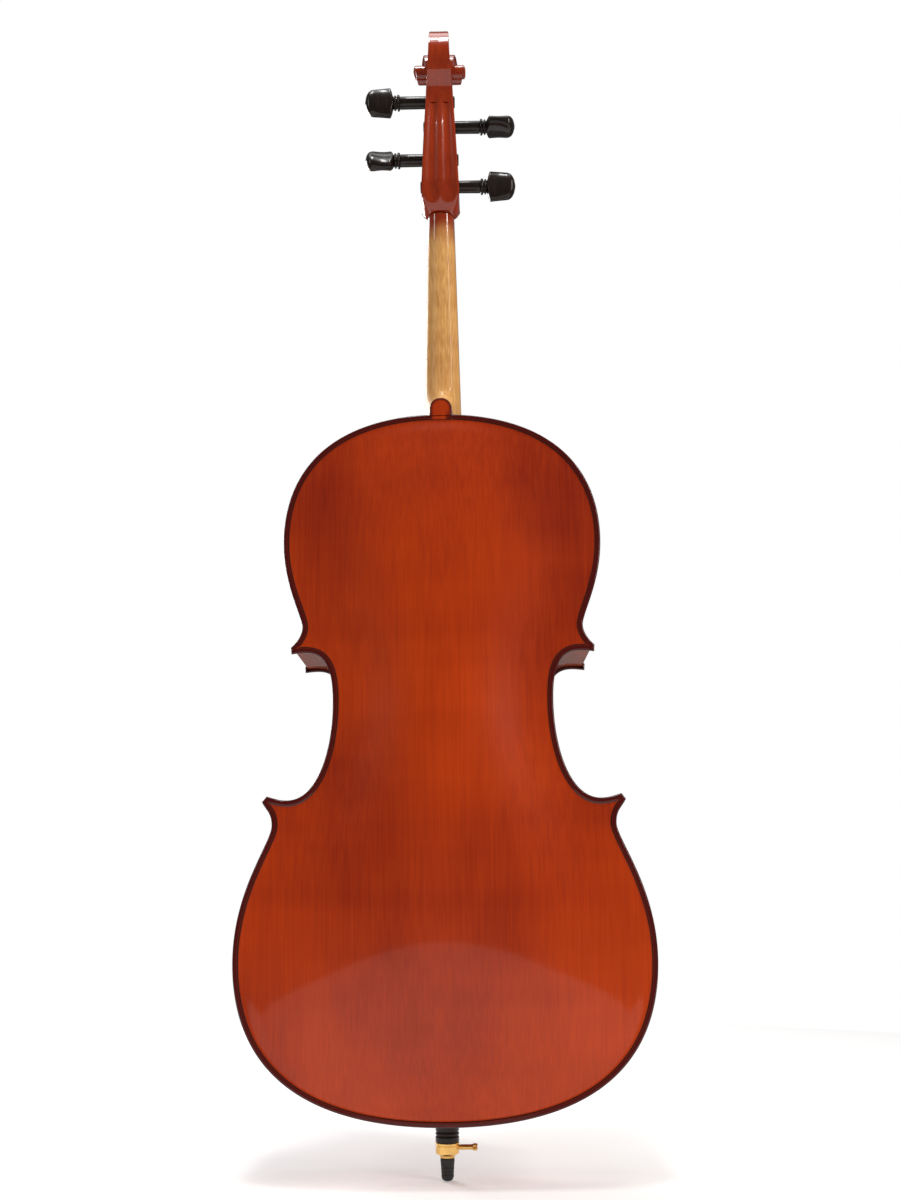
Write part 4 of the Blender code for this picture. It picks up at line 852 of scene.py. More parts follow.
def pegbox_surface():
    """Levels up the box, each a U: fluted back, cheeks, rounded front edges, inner walls and floor."""
    up = np.concatenate([0.0015 + 0.028 * np.linspace(0, 1, 22) ** 1.5,
                         np.linspace(0.033, HEAD_LONG + 0.006, 36)])
    u = up[:, None]
    chin = np.sqrt(np.clip(1 - (1 - np.clip((u - 0.0005) / 0.022, 0, 1)) ** 2, 0, 1))
    half = pegbox_half(u)
    back_half = half * (0.30 + 0.70 * chin)
    share = np.linspace(-1, 1, 25)[None]
    back = pegbox_back(u)
    deep = 0.16 * half * smooth((u - 0.006) / 0.02)
    back_x = share * (back_half - 0.0016)
    back_y = back + fluted(share, deep)
    edge = np.where(u < 0.0098, neck_front(NUT_Z), pegbox_front(u))
    grown = np.clip((u - 0.0010) / 0.008, 0, 1) ** 0.6
    side_half = BOARD_NUT_HALF + (half - BOARD_NUT_HALF) * grown
    inside = np.maximum(side_half - CHEEK, 0.002)
    lip = edge + 0.0004
    opened = smooth((u - 0.0101) / 0.0006) * smooth((HEAD_LONG + 0.004 - u) / 0.006)
    well = lip + (back - WELL_IN - lip) * opened
    corner = back - 0.0012
    cheek = [(side_half - (side_half - back_half) * (1 - s) ** 2, corner + (edge - corner) * s)
             for s in (0.0, 0.12, 0.3, 0.5, 0.75, 0.97)]
    cheek += [(side_half - 0.0006, edge), (inside + 0.0006, edge), (inside, edge + 0.0006),
              (inside * 0.98, well), (inside * 0.5, well + 0.0004)]
    treble = np.concatenate([np.stack([x, y, NUT_Z + u], axis=-1) for x, y in cheek], axis=1)
    across = np.stack([back_x, back_y, NUT_Z + u + 0 * share], axis=-1)
    return tube("pegbox", np.concatenate([across, treble, treble[:, ::-1] * BASS], axis=1), 45.0)


def scroll_surface():
    """A fluted band wound on a shrinking spiral, wider at every turn, so the turns step out to the eye."""
    degrees = np.linspace(-68, 800, 210)
    marks = [-90, -68, -64, -60, -52, -43, -20, *range(0, 811, 90)]
    fine = np.linspace(-90, 810, 901)
    radii = [0.0720, 0.0560, 0.0478, 0.0440, 0.0414, 0.0412, 0.0435,
             0.046, 0.043, 0.034, 0.026, 0.021, 0.018, 0.015, 0.012, 0.0095, 0.0072]
    halves = [0.0170, 0.0163, 0.0161, 0.0158, 0.0153, 0.0147, 0.0134,
              0.0122, 0.0105, 0.0104, 0.0125, 0.0165, 0.0205, 0.0240, 0.0268, 0.0290, 0.0303]

    def eased(values):
        """Straight lines between the marks, rounded off by a running mean that is short at the throat."""
        straight = np.interp(fine, marks, values)
        soft = []
        for reach in (2, 22):
            padded = np.concatenate([np.full(reach, straight[0]), straight, np.full(reach, straight[-1])])
            window = np.ones(2 * reach + 1) / (2 * reach + 1)
            soft.append(np.interp(degrees, fine, np.convolve(padded, window, "valid")))
        return soft[0] + (soft[1] - soft[0]) * smooth((degrees + 30) / 50)

    angle, radius, half = np.radians(degrees), eased(radii), eased(halves)
    share = np.linspace(1, -1, 25)
    deep = 0.20 * half * (1 - smooth((degrees - 150) / 130))
    rows = [(w * (half - 0.0011), radius + fluted(w, 1.0) * deep) for w in share]
    cove = [(half - 0.0003, radius - 0.0003), (half, radius - 0.0010), (half, radius - 0.0020),
            (half - 0.0010, radius * 0.90), (half - 0.0016, radius * 0.78), (half - 0.0014, radius * 0.62),
            (half - 0.0006, radius * 0.44)]
    ring = rows[::-1] + [(-x, r) for x, r in cove] + [(x, r) for x, r in cove[::-1]]
    points = np.stack([
        np.stack([x + 0 * angle, SCROLL_Y + r * np.cos(angle), SCROLL_Z + r * np.sin(angle)], axis=-1)
        for x, r in ring], axis=1)
    return tube("scroll", points, 38.0)


def turned(along, radius, sides, axis, centre):
    """Points of a turned shape: a column of (along, radius) carried round the axis in even steps."""
    turn = np.linspace(0, 2 * np.pi, sides, endpoint=False)[None]
    along, a, b = along + 0 * turn, radius * np.cos(turn), radius * np.sin(turn)
    order = {"Z": (a, b, along), "X": (along, a, b), "Y": (b, along, a)}[axis]
    return np.stack(order, axis=-1) + np.array(centre)


def lathe(name, profile, centre, axis, sides):
    """A plain turned piece, closed at both ends."""
    along, radius = np.array(profile).T[..., None]
    return tube(name, turned(along, radius, sides, axis, centre), 35.0)


def join_shells(name, pieces):
    """Several closed shells kept as one piece."""
    work = bmesh.new()
    for piece in pieces:
        work.from_mesh(piece.data)
    mesh = bpy.data.meshes.new(name)
    work.to_mesh(mesh)
    work.free()
    mesh.set_sharp_from_angle(angle=math.radians(40))
    for piece in pieces:
        bpy.data.objects.remove(piece)
    whole = bpy.data.objects.new(name, mesh)
    bpy.context.scene.collection.objects.link(whole)
    return whole


eye_half = [(0.0312, 0.0030), (0.0310, 0.0046), (0.0303, 0.0062), (0.0292, EYE_R), (0.0278, EYE_R),
            (0.0262, 0.0064)]
eye_profile = [(-x, r) for x, r in eye_half] + eye_half[::-1]
eyes = lathe("eyes", eye_profile, (0.0, SCROLL_Y, SCROLL_Z), "X", 32)
neck = join_shells("neck_carved", [shaft_surface(), pegbox_surface(), scroll_surface(), eyes])


HEAD_COAT = 0.85
BARE_COAT = 0.10
VARNISH_BANDS = ((NUT_Z - 0.030, NUT_Z + 0.008, 0.0, 1.0), (BUTTON_TOP - 0.004, BUTTON_TOP + 0.012, 1.0, 0.0))


def neck_finish():
    """Bare oiled maple that shades into red varnish at the chin and in the heel's root."""
    material = wood("neck_finish", (0.42, 0.042, 0.003), (0.17, 0.010, 0.001), grain=0.35, grain_scale=300.0,
                    flame=0.1, cloud=0.35, gloss=0.2, coat=HEAD_COAT)
    nodes, links = material.node_tree.nodes, material.node_tree.links
    shader = nodes["Principled BSDF"]
    varnished = shader.inputs["Base Color"].links[0].from_node
    bare = place_figure(nodes, (0.82, 0.46, 0.16), (0.50, 0.22, 0.06), grain=0.8, grain_scale=520.0,
                        flame=0.35, flame_scale=12.0, cloud=0.3, gloss=0.42)
    place = nodes.new("ShaderNodeTexCoord")
    split = nodes.new("ShaderNodeSeparateXYZ")
    links.new(place.outputs["Object"], split.inputs["Vector"])
    ragged = nodes.new("ShaderNodeTexNoise")
    ragged.inputs["Scale"].default_value = 60.0
    links.new(place.outputs["Object"], ragged.inputs["Vector"])
    height = nodes.new("ShaderNodeMath")
    height.operation = "MULTIPLY_ADD"
    height.inputs[1].default_value = 0.02
    links.new(ragged.outputs["Fac"], height.inputs[0])
    links.new(split.outputs["Z"], height.inputs[2])
    most = nodes.new("ShaderNodeMath")
    most.operation = "MAXIMUM"
    for index, band_values in enumerate(VARNISH_BANDS):
        band = nodes.new("ShaderNodeMapRange")
        band.interpolation_type = "SMOOTHSTEP"
        for label, value in zip(("From Min", "From Max", "To Min", "To Max"), band_values):
            band.inputs[label].default_value = value
        links.new(height.outputs[0], band.inputs["Value"])
        links.new(band.outputs["Result"], most.inputs[index])
    for kind, label, first, second, result in (("RGBA", "Color", 6, 7, 2), ("FLOAT", "Roughness", 2, 3, 0)):
        mix = nodes.new("ShaderNodeMix")
        mix.data_type = kind
        links.new(most.outputs[0], mix.inputs["Factor"])
        links.new(bare.outputs[label], mix.inputs[first])
        links.new(varnished.outputs[label], mix.inputs[second])
        links.new(mix.outputs[result], shader.inputs["Base Color" if label == "Color" else label])
    coat = nodes.new("ShaderNodeMath")
    coat.operation = "MULTIPLY_ADD"
    coat.inputs[1].default_value = HEAD_COAT - BARE_COAT
    coat.inputs[2].default_value = BARE_COAT
    links.new(most.outputs[0], coat.inputs[0])
    links.new(coat.outputs[0], shader.inputs["Coat Weight"])
    return material


dress(neck, neck_finish(), "neck_maple", "neck")

# ---------------------------------------------------------------- fingerboard, nut and saddle
# Ebony: a long crowned board with rounded edges, hollowed where it hangs over the top,
# the nut at its upper end and the saddle that carries the tailgut over the top's edge.

ebony = wood("ebony", (0.026, 0.017, 0.012), (0.008, 0.005, 0.004), grain=1.2, grain_scale=380.0, flame=0.0,
             cloud=0.3, gloss=0.36, bump=0.12)


def board_surface():
    """Levels down the board, each a crowned top, two rounded edges and a hollowed underside."""
    z = NUT_Z - 0.0003 - np.concatenate([[0.0, 0.0004], np.linspace(0.004, BOARD_LENGTH - 0.004, 60),
                                         [BOARD_LENGTH - 0.0008, BOARD_LENGTH - 0.0003]])
    shrink = np.zeros(len(z))
    shrink[[0, -1]] = 0.0004
    half, base = board_half(z) - shrink, board_top(z) + board_thick(z)
    hollow = 0.0035 * smooth((TOP - 0.01 - z) / 0.03)
    crown = [(x, board_top(z) + x ** 2 / (2 * BOARD_ROUND) + shrink)
             for x in np.linspace(-1, 1, 25)[:, None] * (half - 0.0008)]
    edge_y = board_top(z) + half ** 2 / (2 * BOARD_ROUND)
    treble = [(half - 0.0002, edge_y + 0.0003), (half, edge_y + 0.0010), (half, base - 0.0008),
              (half - 0.0003, base - 0.0002), (half - 0.0009, base)]
    under = [(half * w, base - hollow * np.cos(np.clip(w / 0.86, -1, 1) * np.pi / 2) ** 0.6)
             for w in np.linspace(0.86, -0.86, 15)]
    ring = crown + treble + under + [(-x, y) for x, y in treble[::-1]]
    return tube("fingerboard_crowned", np.stack([np.column_stack([x, y, z]) for x, y in ring], axis=1)[::-1])


dress(board_surface(), ebony, "ebony", "fingerboard")
for name in ("nut", "saddle"):
    paint(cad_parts[name], ebony)

# ---------------------------------------------------------------- bridge
# Unvarnished maple, thick at the feet and thin at the crown, with a heart, two side cuts
# and an arch between the feet.

bridge_wood = wood("bridge_wood", (0.66, 0.42, 0.20), (0.40, 0.20, 0.08), grain=1.0, grain_scale=420.0,
                   flame=0.25, flame_scale=30.0, cloud=0.3, gloss=0.55, bump=0.15)
bridge_low, bridge_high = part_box("bridge")
CROWN = bridge_low[1]
ANKLE = bridge_high[1] - 0.003
BRIDGE_TALL = ANKLE - CROWN
BRIDGE_HALF = bridge_high[0]
BRIDGE_ROUND = 0.065
BRIDGE_FOOT_THICK, BRIDGE_CROWN_THICK = 0.011, 0.0026
STRING_SPREAD = 0.0155


def bridge_half_outline():
    """Right half from the crown's middle round the waist to the foot and under the arch."""
    def at(wide, down):
        """A point at a share of the half-width and of the height below the crown."""
        return (BRIDGE_HALF * wide, CROWN + BRIDGE_TALL * down)

    top_half = 1.75 * STRING_SPREAD
    crown = [(x, CROWN + x ** 2 / (2 * BRIDGE_ROUND)) for x in np.linspace(0, top_half - 0.001, 10)]
    shoulder = (top_half, CROWN + top_half ** 2 / (2 * BRIDGE_ROUND) + 0.0015)
    side = [
        bezier(shoulder, (top_half + 0.004, CROWN + 0.012), at(0.80, 0.24), at(0.84, 0.36), 8),
        bezier(at(0.84, 0.36), at(0.88, 0.46), at(0.66, 0.46), at(0.66, 0.56), 8),
        bezier(at(0.66, 0.56), at(0.66, 0.74), at(0.70, 0.86), at(0.80, 0.90), 8),
        bezier(at(0.80, 0.90), at(0.90, 0.925), at(0.99, 0.94), at(0.998, 0.965), 6)]
    foot = [(x, -HALF_DEPTH - float(arch(x, BRIDGE_Z)) - 0.0012) for x in np.linspace(BRIDGE_HALF, 0.022, 7)]

    def over(x, share):
        """A point at a share of the height above the ankles."""
        return (x, ANKLE - share * BRIDGE_TALL)

    under = [
        bezier((0.022, foot[-1][1] - 0.0015), over(0.0205, 0.12), over(0.022, 0.30), over(0.011, 0.36), 9),
        bezier(over(0.011, 0.36), over(0.006, 0.385), over(0.003, 0.39), over(0.0, 0.39), 5)]
    return np.vstack([crown, *side, foot, *under])


def crosswise_prism(name, loop, low, high):
    """A closed loop in (x, y) carried through in z."""
    return tube(name, np.array([np.insert(loop, 2, z, axis=1) for z in (low, high)]))


half_line = bridge_half_outline()
bridge_loop = np.vstack([half_line, half_line[1:][::-1] * np.array([-1.0, 1.0])])
bridge = crosswise_prism("bridge_carved", bridge_loop, -0.5, 0.5)
turn = np.linspace(0, 2 * np.pi, 36, endpoint=False)
heart_rise = 0.81 * np.cos(turn) - 0.31 * np.cos(2 * turn) - 0.12 * np.cos(3 * turn)
heart = np.column_stack([0.00756 * np.sin(turn) ** 3, CROWN + 0.42 * BRIDGE_TALL - 0.0064 * heart_rise])
kidney = np.column_stack([BRIDGE_HALF * 0.50 + 0.0072 * np.cos(turn) + 0.0035 * np.sin(turn) ** 2,
                          CROWN + 0.50 * BRIDGE_TALL + 0.0062 * np.sin(turn)])
cut_away(bridge, [crosswise_prism(label, loop, -1.0, 1.0) for label, loop in (
    ("heart", heart), ("kidney_treble", kidney), ("kidney_bass", kidney * np.array([-1.0, 1.0])))])

# The flat blank is a metre thick so far: its faces are brought in to a taper from feet to crown.
carved = np.empty(3 * len(bridge.data.vertices), dtype=np.float32)
bridge.data.vertices.foreach_get("co", carved)
carved = carved.reshape(-1, 3)
share = np.clip((ANKLE - carved[:, 1]) / BRIDGE_TALL, 0.0, 1.0)
thick = BRIDGE_FOOT_THICK + (BRIDGE_CROWN_THICK - BRIDGE_FOOT_THICK) * share
carved[:, 2] = BRIDGE_Z + np.copysign(thick / 2, carved[:, 2])
bridge.data.vertices.foreach_set("co", carved.ravel())
bridge.data.update()
rounded = bridge.modifiers.new("softened", "BEVEL")
rounded.width = 0.0005
rounded.segments = 2
rounded.angle_limit = math.radians(40)
dress(bridge, bridge_wood, "bridge_maple", "bridge")

# ---------------------------------------------------------------- tailpiece, fine tuners and tailgut
# An ebony wedge, crowned and narrowing to the saddle, holding four brass fine tuners.
# Each knurled knob turns on its screw and rocks a steel lever; a black cord loops to the plug.

SADDLE_TOP_Y = -(HALF_DEPTH + 0.009)
SADDLE_TOP_Z = BOTTOM + 0.0027
TAIL_LOW = BOTTOM + 0.021
TAIL_HIGH = TAIL_LOW + 0.225
TUNER_Z = TAIL_HIGH - 0.026
HOOK_Z = TAIL_HIGH - 0.006
LEVER_SPREAD = 0.0125
TUNER_CUT_HALF = 0.0021
UNITS = {"c": -1.5, "g": -0.5, "d": 0.5, "a": 1.5}


def tail_line(z):
    """The strings' straight run from the bridge's crown down to the saddle."""
    return SADDLE_TOP_Y + (CROWN - SADDLE_TOP_Y) * (z - SADDLE_TOP_Z) / (BRIDGE_Z - SADDLE_TOP_Z)


def tail_half(z):
    """Half the tailpiece's width, growing a little faster towards the top."""
    return 0.015 + 0.014 * ((z - TAIL_LOW) / (TAIL_HIGH - TAIL_LOW)) ** 1.2


def tail_top(x, z):
    """Its outer face: the strings' line, lowered to the sides as a parabola."""
    return tail_line(z) + 0.002 + (x / tail_half(z)) ** 2 * 0.006


def tailpiece_surface():
    """Levels up the wedge, each a crowned top, two edges and a flat underside, drawn in at both ends."""
    t = np.concatenate([[0.0, 0.003, 0.008], np.linspace(0.02, 0.83, 30), np.linspace(0.84, 0.90, 12),
                        np.linspace(0.92, 0.985, 5), [0.994, 0.998, 1.0]])
    z = TAIL_LOW + (TAIL_HIGH - TAIL_LOW) * t
    inset = 0.0020 * (1 - np.sqrt(np.clip(1 - (1 - np.minimum(t, 0.009) / 0.009) ** 2, 0, 1)))
    inset += 0.0012 * (1 - np.sqrt(np.clip(1 - (np.maximum(t, 0.993) - 0.993) ** 2 / 0.007 ** 2, 0, 1)))
    half = tail_half(z) - inset
    under = tail_line(z) + 0.013 * (0.75 + 0.25 * t) - inset
    top_ring = [(w * (half - 0.0006), tail_top(w * tail_half(z), z) + inset) for w in np.linspace(-1, 1, 21)]
    edge = [(half, tail_top(tail_half(z), z) + 0.0007 + inset), (half - 0.0004, under - 0.0022),
            (half * 0.93, under - 0.0004), (half * 0.86, under)]
    ring = top_ring + edge + [(half * w, under) for w in (0.5, 0.0, -0.5)] + [(-x, y) for x, y in edge[::-1]]
    return tube("tailpiece_wedge", np.stack([np.column_stack([x, y, z]) for x, y in ring], axis=1))


def tuner_cut(name, x, top, bottom, foot):
    """A square cut as wide as a lever, open past the tailpiece's top end."""
    ring = np.array([(x - TUNER_CUT_HALF, top), (x + TUNER_CUT_HALF, top),
                     (x + TUNER_CUT_HALF, bottom), (x - TUNER_CUT_HALF, bottom)])
    return crosswise_prism(name, ring, foot, TAIL_HIGH + 0.01)


tailpiece = tailpiece_surface()
tuner_cuts = []
for string, unit in UNITS.items():
    x = unit * LEVER_SPREAD
    top = tail_top(x, TUNER_Z)
    tuner_cuts += [tuner_cut(f"pocket_{string}", x, top + 0.004, top + 0.04, TUNER_Z - 0.005),
                   tuner_cut(f"slot_{string}", x, top - 0.04, top + 0.01, HOOK_Z - 0.006),
                   lathe(f"bore_{string}", [(-0.02, 0.0019), (0.02, 0.0019)], (x, top, TUNER_Z), "Y", 20)]
cut_away(tailpiece, tuner_cuts)
dress(tailpiece, ebony, "ebony", "tailpiece")


def metal(name, color, roughness, wear=0.12, wear_scale=90.0):
    """Bare or plated metal with fine scratches that vary its shine."""
    material = bpy.data.materials.new(name)
    material.use_nodes = True
    nodes, links = material.node_tree.nodes, material.node_tree.links
    shader = nodes["Principled BSDF"]
    shader.inputs["Base Color"].default_value = (*color, 1.0)
    shader.inputs["Metallic"].default_value = 1.0
    place = nodes.new("ShaderNodeTexCoord")
    scratch = nodes.new("ShaderNodeTexNoise")
    scratch.inputs["Scale"].default_value = wear_scale
    scratch.inputs["Detail"].default_value = 6.0
    links.new(place.outputs["Object"], scratch.inputs["Vector"])
    spread = nodes.new("ShaderNodeMapRange")
    spread.inputs["From Min"].default_value = 0.3
    spread.inputs["From Max"].default_value = 0.7
    spread.inputs["To Min"].default_value = roughness - wear / 2
    spread.inputs["To Max"].default_value = roughness + wear / 2
    links.new(scratch.outputs["Fac"], spread.inputs["Value"])
    links.new(spread.outputs["Result"], shader.inputs["Roughness"])
    lift = nodes.new("ShaderNodeBump")
    lift.inputs["Strength"].default_value = 0.08
    lift.inputs["Distance"].default_value = 0.0002
    links.new(scratch.outputs["Fac"], lift.inputs["Height"])
    links.new(lift.outputs["Normal"], shader.inputs["Normal"])
    return material


brass = metal("brass", (0.80, 0.50, 0.16), 0.24)
lever_steel = metal("lever_steel", (0.58, 0.58, 0.60), 0.28)


def knurled(name, profile, centre, axis, ridges, depth, sides):
    """A turned piece whose rim is pulled in between evenly spaced ridges where the profile asks."""
    along, radius, knurl = np.array(profile).T[..., None]
    turn = np.linspace(0, 2 * np.pi, sides, endpoint=False)[None]
    bite = depth * (0.5 - 0.5 * np.cos(turn * ridges)) * knurl
    return tube(name, turned(along, radius - bite, sides, axis, centre), 30.0)


for string, unit in UNITS.items():
    x = unit * LEVER_SPREAD
    spot = (x, tail_top(x, TUNER_Z), TUNER_Z)
    knob = knurled(f"tuner_knob_{string}_knurled",
                   [(-0.0132, 0.0032, 0), (-0.0131, 0.0036, 0), (-0.0126, 0.0044, 0.3), (-0.0123, 0.0045, 1),
                    (-0.0074, 0.0045, 1), (-0.0071, 0.0044, 0.3), (-0.0065, 0.0038, 0), (-0.0061, 0.0036, 0),
                    (-0.0060, 0.0030, 0)], spot, "Y", 24, 0.0005, 192)
    dress(knob, brass, "brass", f"tuner_knob_{string}", body=f"tuner_knob_{string}")
    paint(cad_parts[f"tuner_screw_{string}"], brass)
    paint(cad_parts[f"tuner_lever_{string}"], lever_steel)

braid = wood("braid", (0.035, 0.035, 0.04), (0.010, 0.010, 0.012), grain=1.6, grain_scale=900.0, flame=0.0,
             cloud=0.2, gloss=0.6, bump=0.5)
paint(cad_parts["tailgut"], braid)

# ---------------------------------------------------------------- strings
# Four wound strings from the tuner levers over the bridge and nut into the pegbox, with
# coloured silk at both ends; the turns wound on each peg's shaft ride with that peg.

NUT_SPREAD = 0.0072
NUT_LONG = 0.0085
SILK_THICK = 0.00018
STRING_R = {"c": 0.00085, "g": 0.0006, "d": 0.00045, "a": 0.00035}
SILK = {"c": (0.30, 0.02, 0.02), "g": (0.03, 0.10, 0.30), "d": (0.02, 0.22, 0.10), "a": (0.30, 0.16, 0.02)}
PEG_ALONG = {"c": 0.031, "a": 0.0641, "g": 0.1041, "d": 0.1353}
PEG_SIDE = {"c": -1, "g": -1, "d": 1, "a": 1}
PEG_R = 0.0072
COIL_TURNS = 4
wound_steel = metal("wound_steel", (0.62, 0.62, 0.65), 0.26, wear=0.2, wear_scale=1400.0)


def cord(name, path, radius, sides=12):
    """A round cord: a ring at each point of its path, square to the path there and turned as
    little as it can be from the ring before."""
    along = np.gradient(path, axis=0)
    along /= np.linalg.norm(along, axis=1)[:, None]
    side = np.array([1.0, 0.0, 0.0]) if abs(along[0, 0]) < 0.8 else np.array([0.0, 1.0, 0.0])
    rings = []
    angles = np.linspace(0, 2 * np.pi, sides, endpoint=False)
    for point, forward in zip(path, along):
        side = side - forward * np.dot(side, forward)
        side /= np.linalg.norm(side)
        other = np.cross(forward, side)
        rings.append(point + radius * (np.cos(angles)[:, None] * side + np.sin(angles)[:, None] * other))
    return tube(name, np.array(rings), 50.0)


def peg_spot(string):
    """Where a peg's middle crosses the box: up the head, and back along its lean."""
    up = PEG_ALONG[string]
    return np.array([0.0, -0.018 + 0.067 * (up - PEG_ALONG["c"]), NUT_Z + up])


def string_path(string):
    """The string's bends: lever hook, bridge, nut, the nut's far side and its peg's shaft."""
    unit, radius = UNITS[string], STRING_R[string]
    hook = (unit * LEVER_SPREAD, tail_line(HOOK_Z) - 0.001, HOOK_Z)
    x = unit * STRING_SPREAD
    bridge_spot = (x, CROWN + x ** 2 / (2 * BRIDGE_ROUND) - radius * 1.1 - 0.0006, BRIDGE_Z)
    x = unit * NUT_SPREAD
    board_skin = board_top(NUT_Z) + x ** 2 / (2 * BOARD_ROUND)
    nut_spot = (x, board_skin - radius - 0.0015, NUT_Z + NUT_LONG * 0.3)
    past_nut = (x, nut_spot[1] + 0.0022, nut_spot[2] + NUT_LONG * 0.7 + 0.001)
    spot = peg_spot(string)
    wrap_spot = (x * 0.45, spot[1] - PEG_R - 0.0006 - radius * 1.1, spot[2])
    return np.array([hook, bridge_spot, nut_spot, past_nut, wrap_spot])


def part_of(path, start, length):
    """The stretch of a path that begins a distance along it, or back from its end if negative."""
    far = np.concatenate([[0], np.cumsum(np.linalg.norm(np.diff(path, axis=0), axis=1))])
    begin = start if start >= 0 else far[-1] + start
    bends = far[(far > begin) & (far < begin + length)]
    marks = np.unique(np.concatenate([[begin], bends, [begin + length]]))
    return np.column_stack([np.interp(marks, far, path[:, k]) for k in range(3)])


def coil_path(string, start):
    """A helix round the peg's shaft, from where the string meets it in towards the box's middle."""
    angle = np.linspace(-np.pi / 2 - 0.15, -np.pi / 2 + COIL_TURNS * 2 * np.pi, 130)
    radius = PEG_R + 0.0001 + STRING_R[string]
    travel = COIL_TURNS * 2.3 * STRING_R[string] + 0.0006
    along = start - math.copysign(1.0, start) * np.linspace(0, travel, len(angle))
    spot = peg_spot(string)
    return np.column_stack([along, spot[1] + radius * np.sin(angle), spot[2] + radius * np.cos(angle)])


for string, color in SILK.items():
    silk = wood(f"silk_{string}", color, tuple(0.5 * c for c in color), grain=1.4, grain_scale=1200.0,
                flame=0.0, cloud=0.1, gloss=0.5, bump=0.4)
    path = string_path(string)
    wrapped = STRING_R[string] + SILK_THICK
    last = np.linalg.norm(path[4] - path[3]) + 0.004
    line = cord(f"string_{string}_wound", path, STRING_R[string])
    dress(line, wound_steel, "string_steel", f"string_{string}")
    dress(cord(f"silk_low_{string}", part_of(path, 0.004, 0.050), wrapped), silk, "string_steel")
    dress(cord(f"silk_high_{string}", part_of(path, -last, last - 0.0005), wrapped), silk, "string_steel")
    coil = cord(f"coil_{string}", coil_path(string, path[4][0]), STRING_R[string] * 1.1, 8)
    dress(coil, silk, "string_steel", body=f"peg_{string}")

# ---------------------------------------------------------------- pegs
# Ebonised pegs: a shaft through both cheeks, two turned beads and a flat, spade-shaped
# head that is widest beside the beads and rounds off at its end.

PEG_HEAD_IN = 0.056
PEG_HEAD_OUT = 0.089
PEG_HEAD_HALF = 0.0186
PEG_NECK_R = 0.0068
PEG_TIP_R = 0.0016
PEG_TURN = {"c": 0.0, "g": 90.0, "d": 0.0, "a": 35.0}
peg_black = wood("peg_black", (0.018, 0.010, 0.007), (0.006, 0.004, 0.003), grain=1.0, grain_scale=320.0,
                 flame=0.0, cloud=0.4, gloss=0.30, coat=0.35, coat_roughness=0.10, bump=0.10)


def rounding(t, start):
    """A quarter ellipse: 1 up to the start, then down to 0 at 1."""
    return np.sqrt(np.clip(1 - (np.clip(t - start, 0, None) / (1 - start)) ** 2, 0, None))


def peg_profile(far):
    """Rows of (along, half thickness, half width), from the shaft's small end to the head's tip:
    a swelling shaft, two half-round beads, and a head that flares, narrows and rounds off."""
    end = [(-far, 0.0045, 0.0045), (-far + 0.0002, 0.0062, 0.0062), (-far + 0.0012, 0.0066, 0.0066)]
    shaft_r = np.linspace(0.0067, PEG_R, 6)
    shaft = np.column_stack([np.linspace(-far + 0.004, PEG_HEAD_IN - 0.0095, 6), shaft_r, shaft_r])
    beads = []
    t = np.linspace(-np.pi / 2, np.pi / 2, 9)
    for back, radius, half_long in ((0.0068, 0.0093, 0.0018), (0.0028, 0.0086, 0.0014)):
        bead_r = PEG_NECK_R + (radius - PEG_NECK_R) * np.cos(t)
        beads.append(np.column_stack([PEG_HEAD_IN - back + half_long * np.sin(t), bead_r, bead_r]))
    t = np.linspace(0, 1, 34) ** 1.3
    out = t * (PEG_HEAD_OUT - PEG_HEAD_IN)
    wide = (PEG_HEAD_HALF - 0.0042 * t ** 1.6) * rounding(t, 0.72)
    wide = 0.0085 + (wide - 0.0085) * np.sin(np.minimum(out / 0.0035, 1.0) * np.pi / 2)
    thin = (0.0078 - 0.0014 * np.sin(np.pi * np.minimum(t / 0.7, 1.0)) + 0.0014 * t) * rounding(t, 0.80)
    head = np.column_stack([PEG_HEAD_IN + out, np.maximum(thin, PEG_TIP_R), np.maximum(wide, PEG_TIP_R)])
    return np.vstack([end, shaft, *beads, [(PEG_HEAD_IN - 0.0010, 0.0066, 0.0070)], head,
                      [(PEG_HEAD_OUT - 0.0002, 0.0014, 0.0014)]])


def peg_surface(string, side):
    """Each profile row as an oval, fuller than an ellipse where the head is flat, turned to its place."""
    along, thin, wide = peg_profile(pegbox_half(PEG_ALONG[string]) + 0.002).T[..., None]
    turn = np.linspace(0, 2 * np.pi, 56, endpoint=False)
    power = np.where(wide / thin > 1.25, 0.82, 1.0)
    p = thin * np.sign(np.cos(turn)) * np.abs(np.cos(turn)) ** power
    q = wide * np.sign(np.sin(turn)) * np.abs(np.sin(turn)) ** power
    roll = math.radians(PEG_TURN[string])
    spot = peg_spot(string)
    points = np.stack([side * along + 0 * turn, spot[1] + p * math.cos(roll) - q * math.sin(roll),
                       spot[2] + p * math.sin(roll) + q * math.cos(roll)], axis=-1)
    return tube(f"peg_{string}_turned", points, 32.0)


for string, side in PEG_SIDE.items():
    dress(peg_surface(string, side), peg_black, "ebony", f"peg_{string}", body=f"peg_{string}")

# ---------------------------------------------------------------- endpin
# An ebonised plug with two turned grooves in the lower block, a brass collar with a
# knurled thumbscrew, and a steel rod that ends in a ribbed black rubber tip.

CENTRE = (0.0, 0.0, 0.0)
PLUG_R = 0.0125
ROD_R = 0.004
BORE_R = ROD_R + 0.00035
RIB_LOW = BOTTOM + OVERHANG
JOIN_Z = BOTTOM - 0.0247
JOIN_GAP = 0.00015
SCREW_SPOT = (0.0, 0.0, BOTTOM - 0.0301)


def turned_ring(name, profile, sides=64):
    """A turned ring whose profile closes on itself, round the instrument's own centre line."""
    along, radius = np.array(profile + profile[:1]).T[..., None]
    points = turned(along, radius, sides, "Z", CENTRE)
    return lay_mesh(name, points, grid_quads(len(points), sides), 30.0)


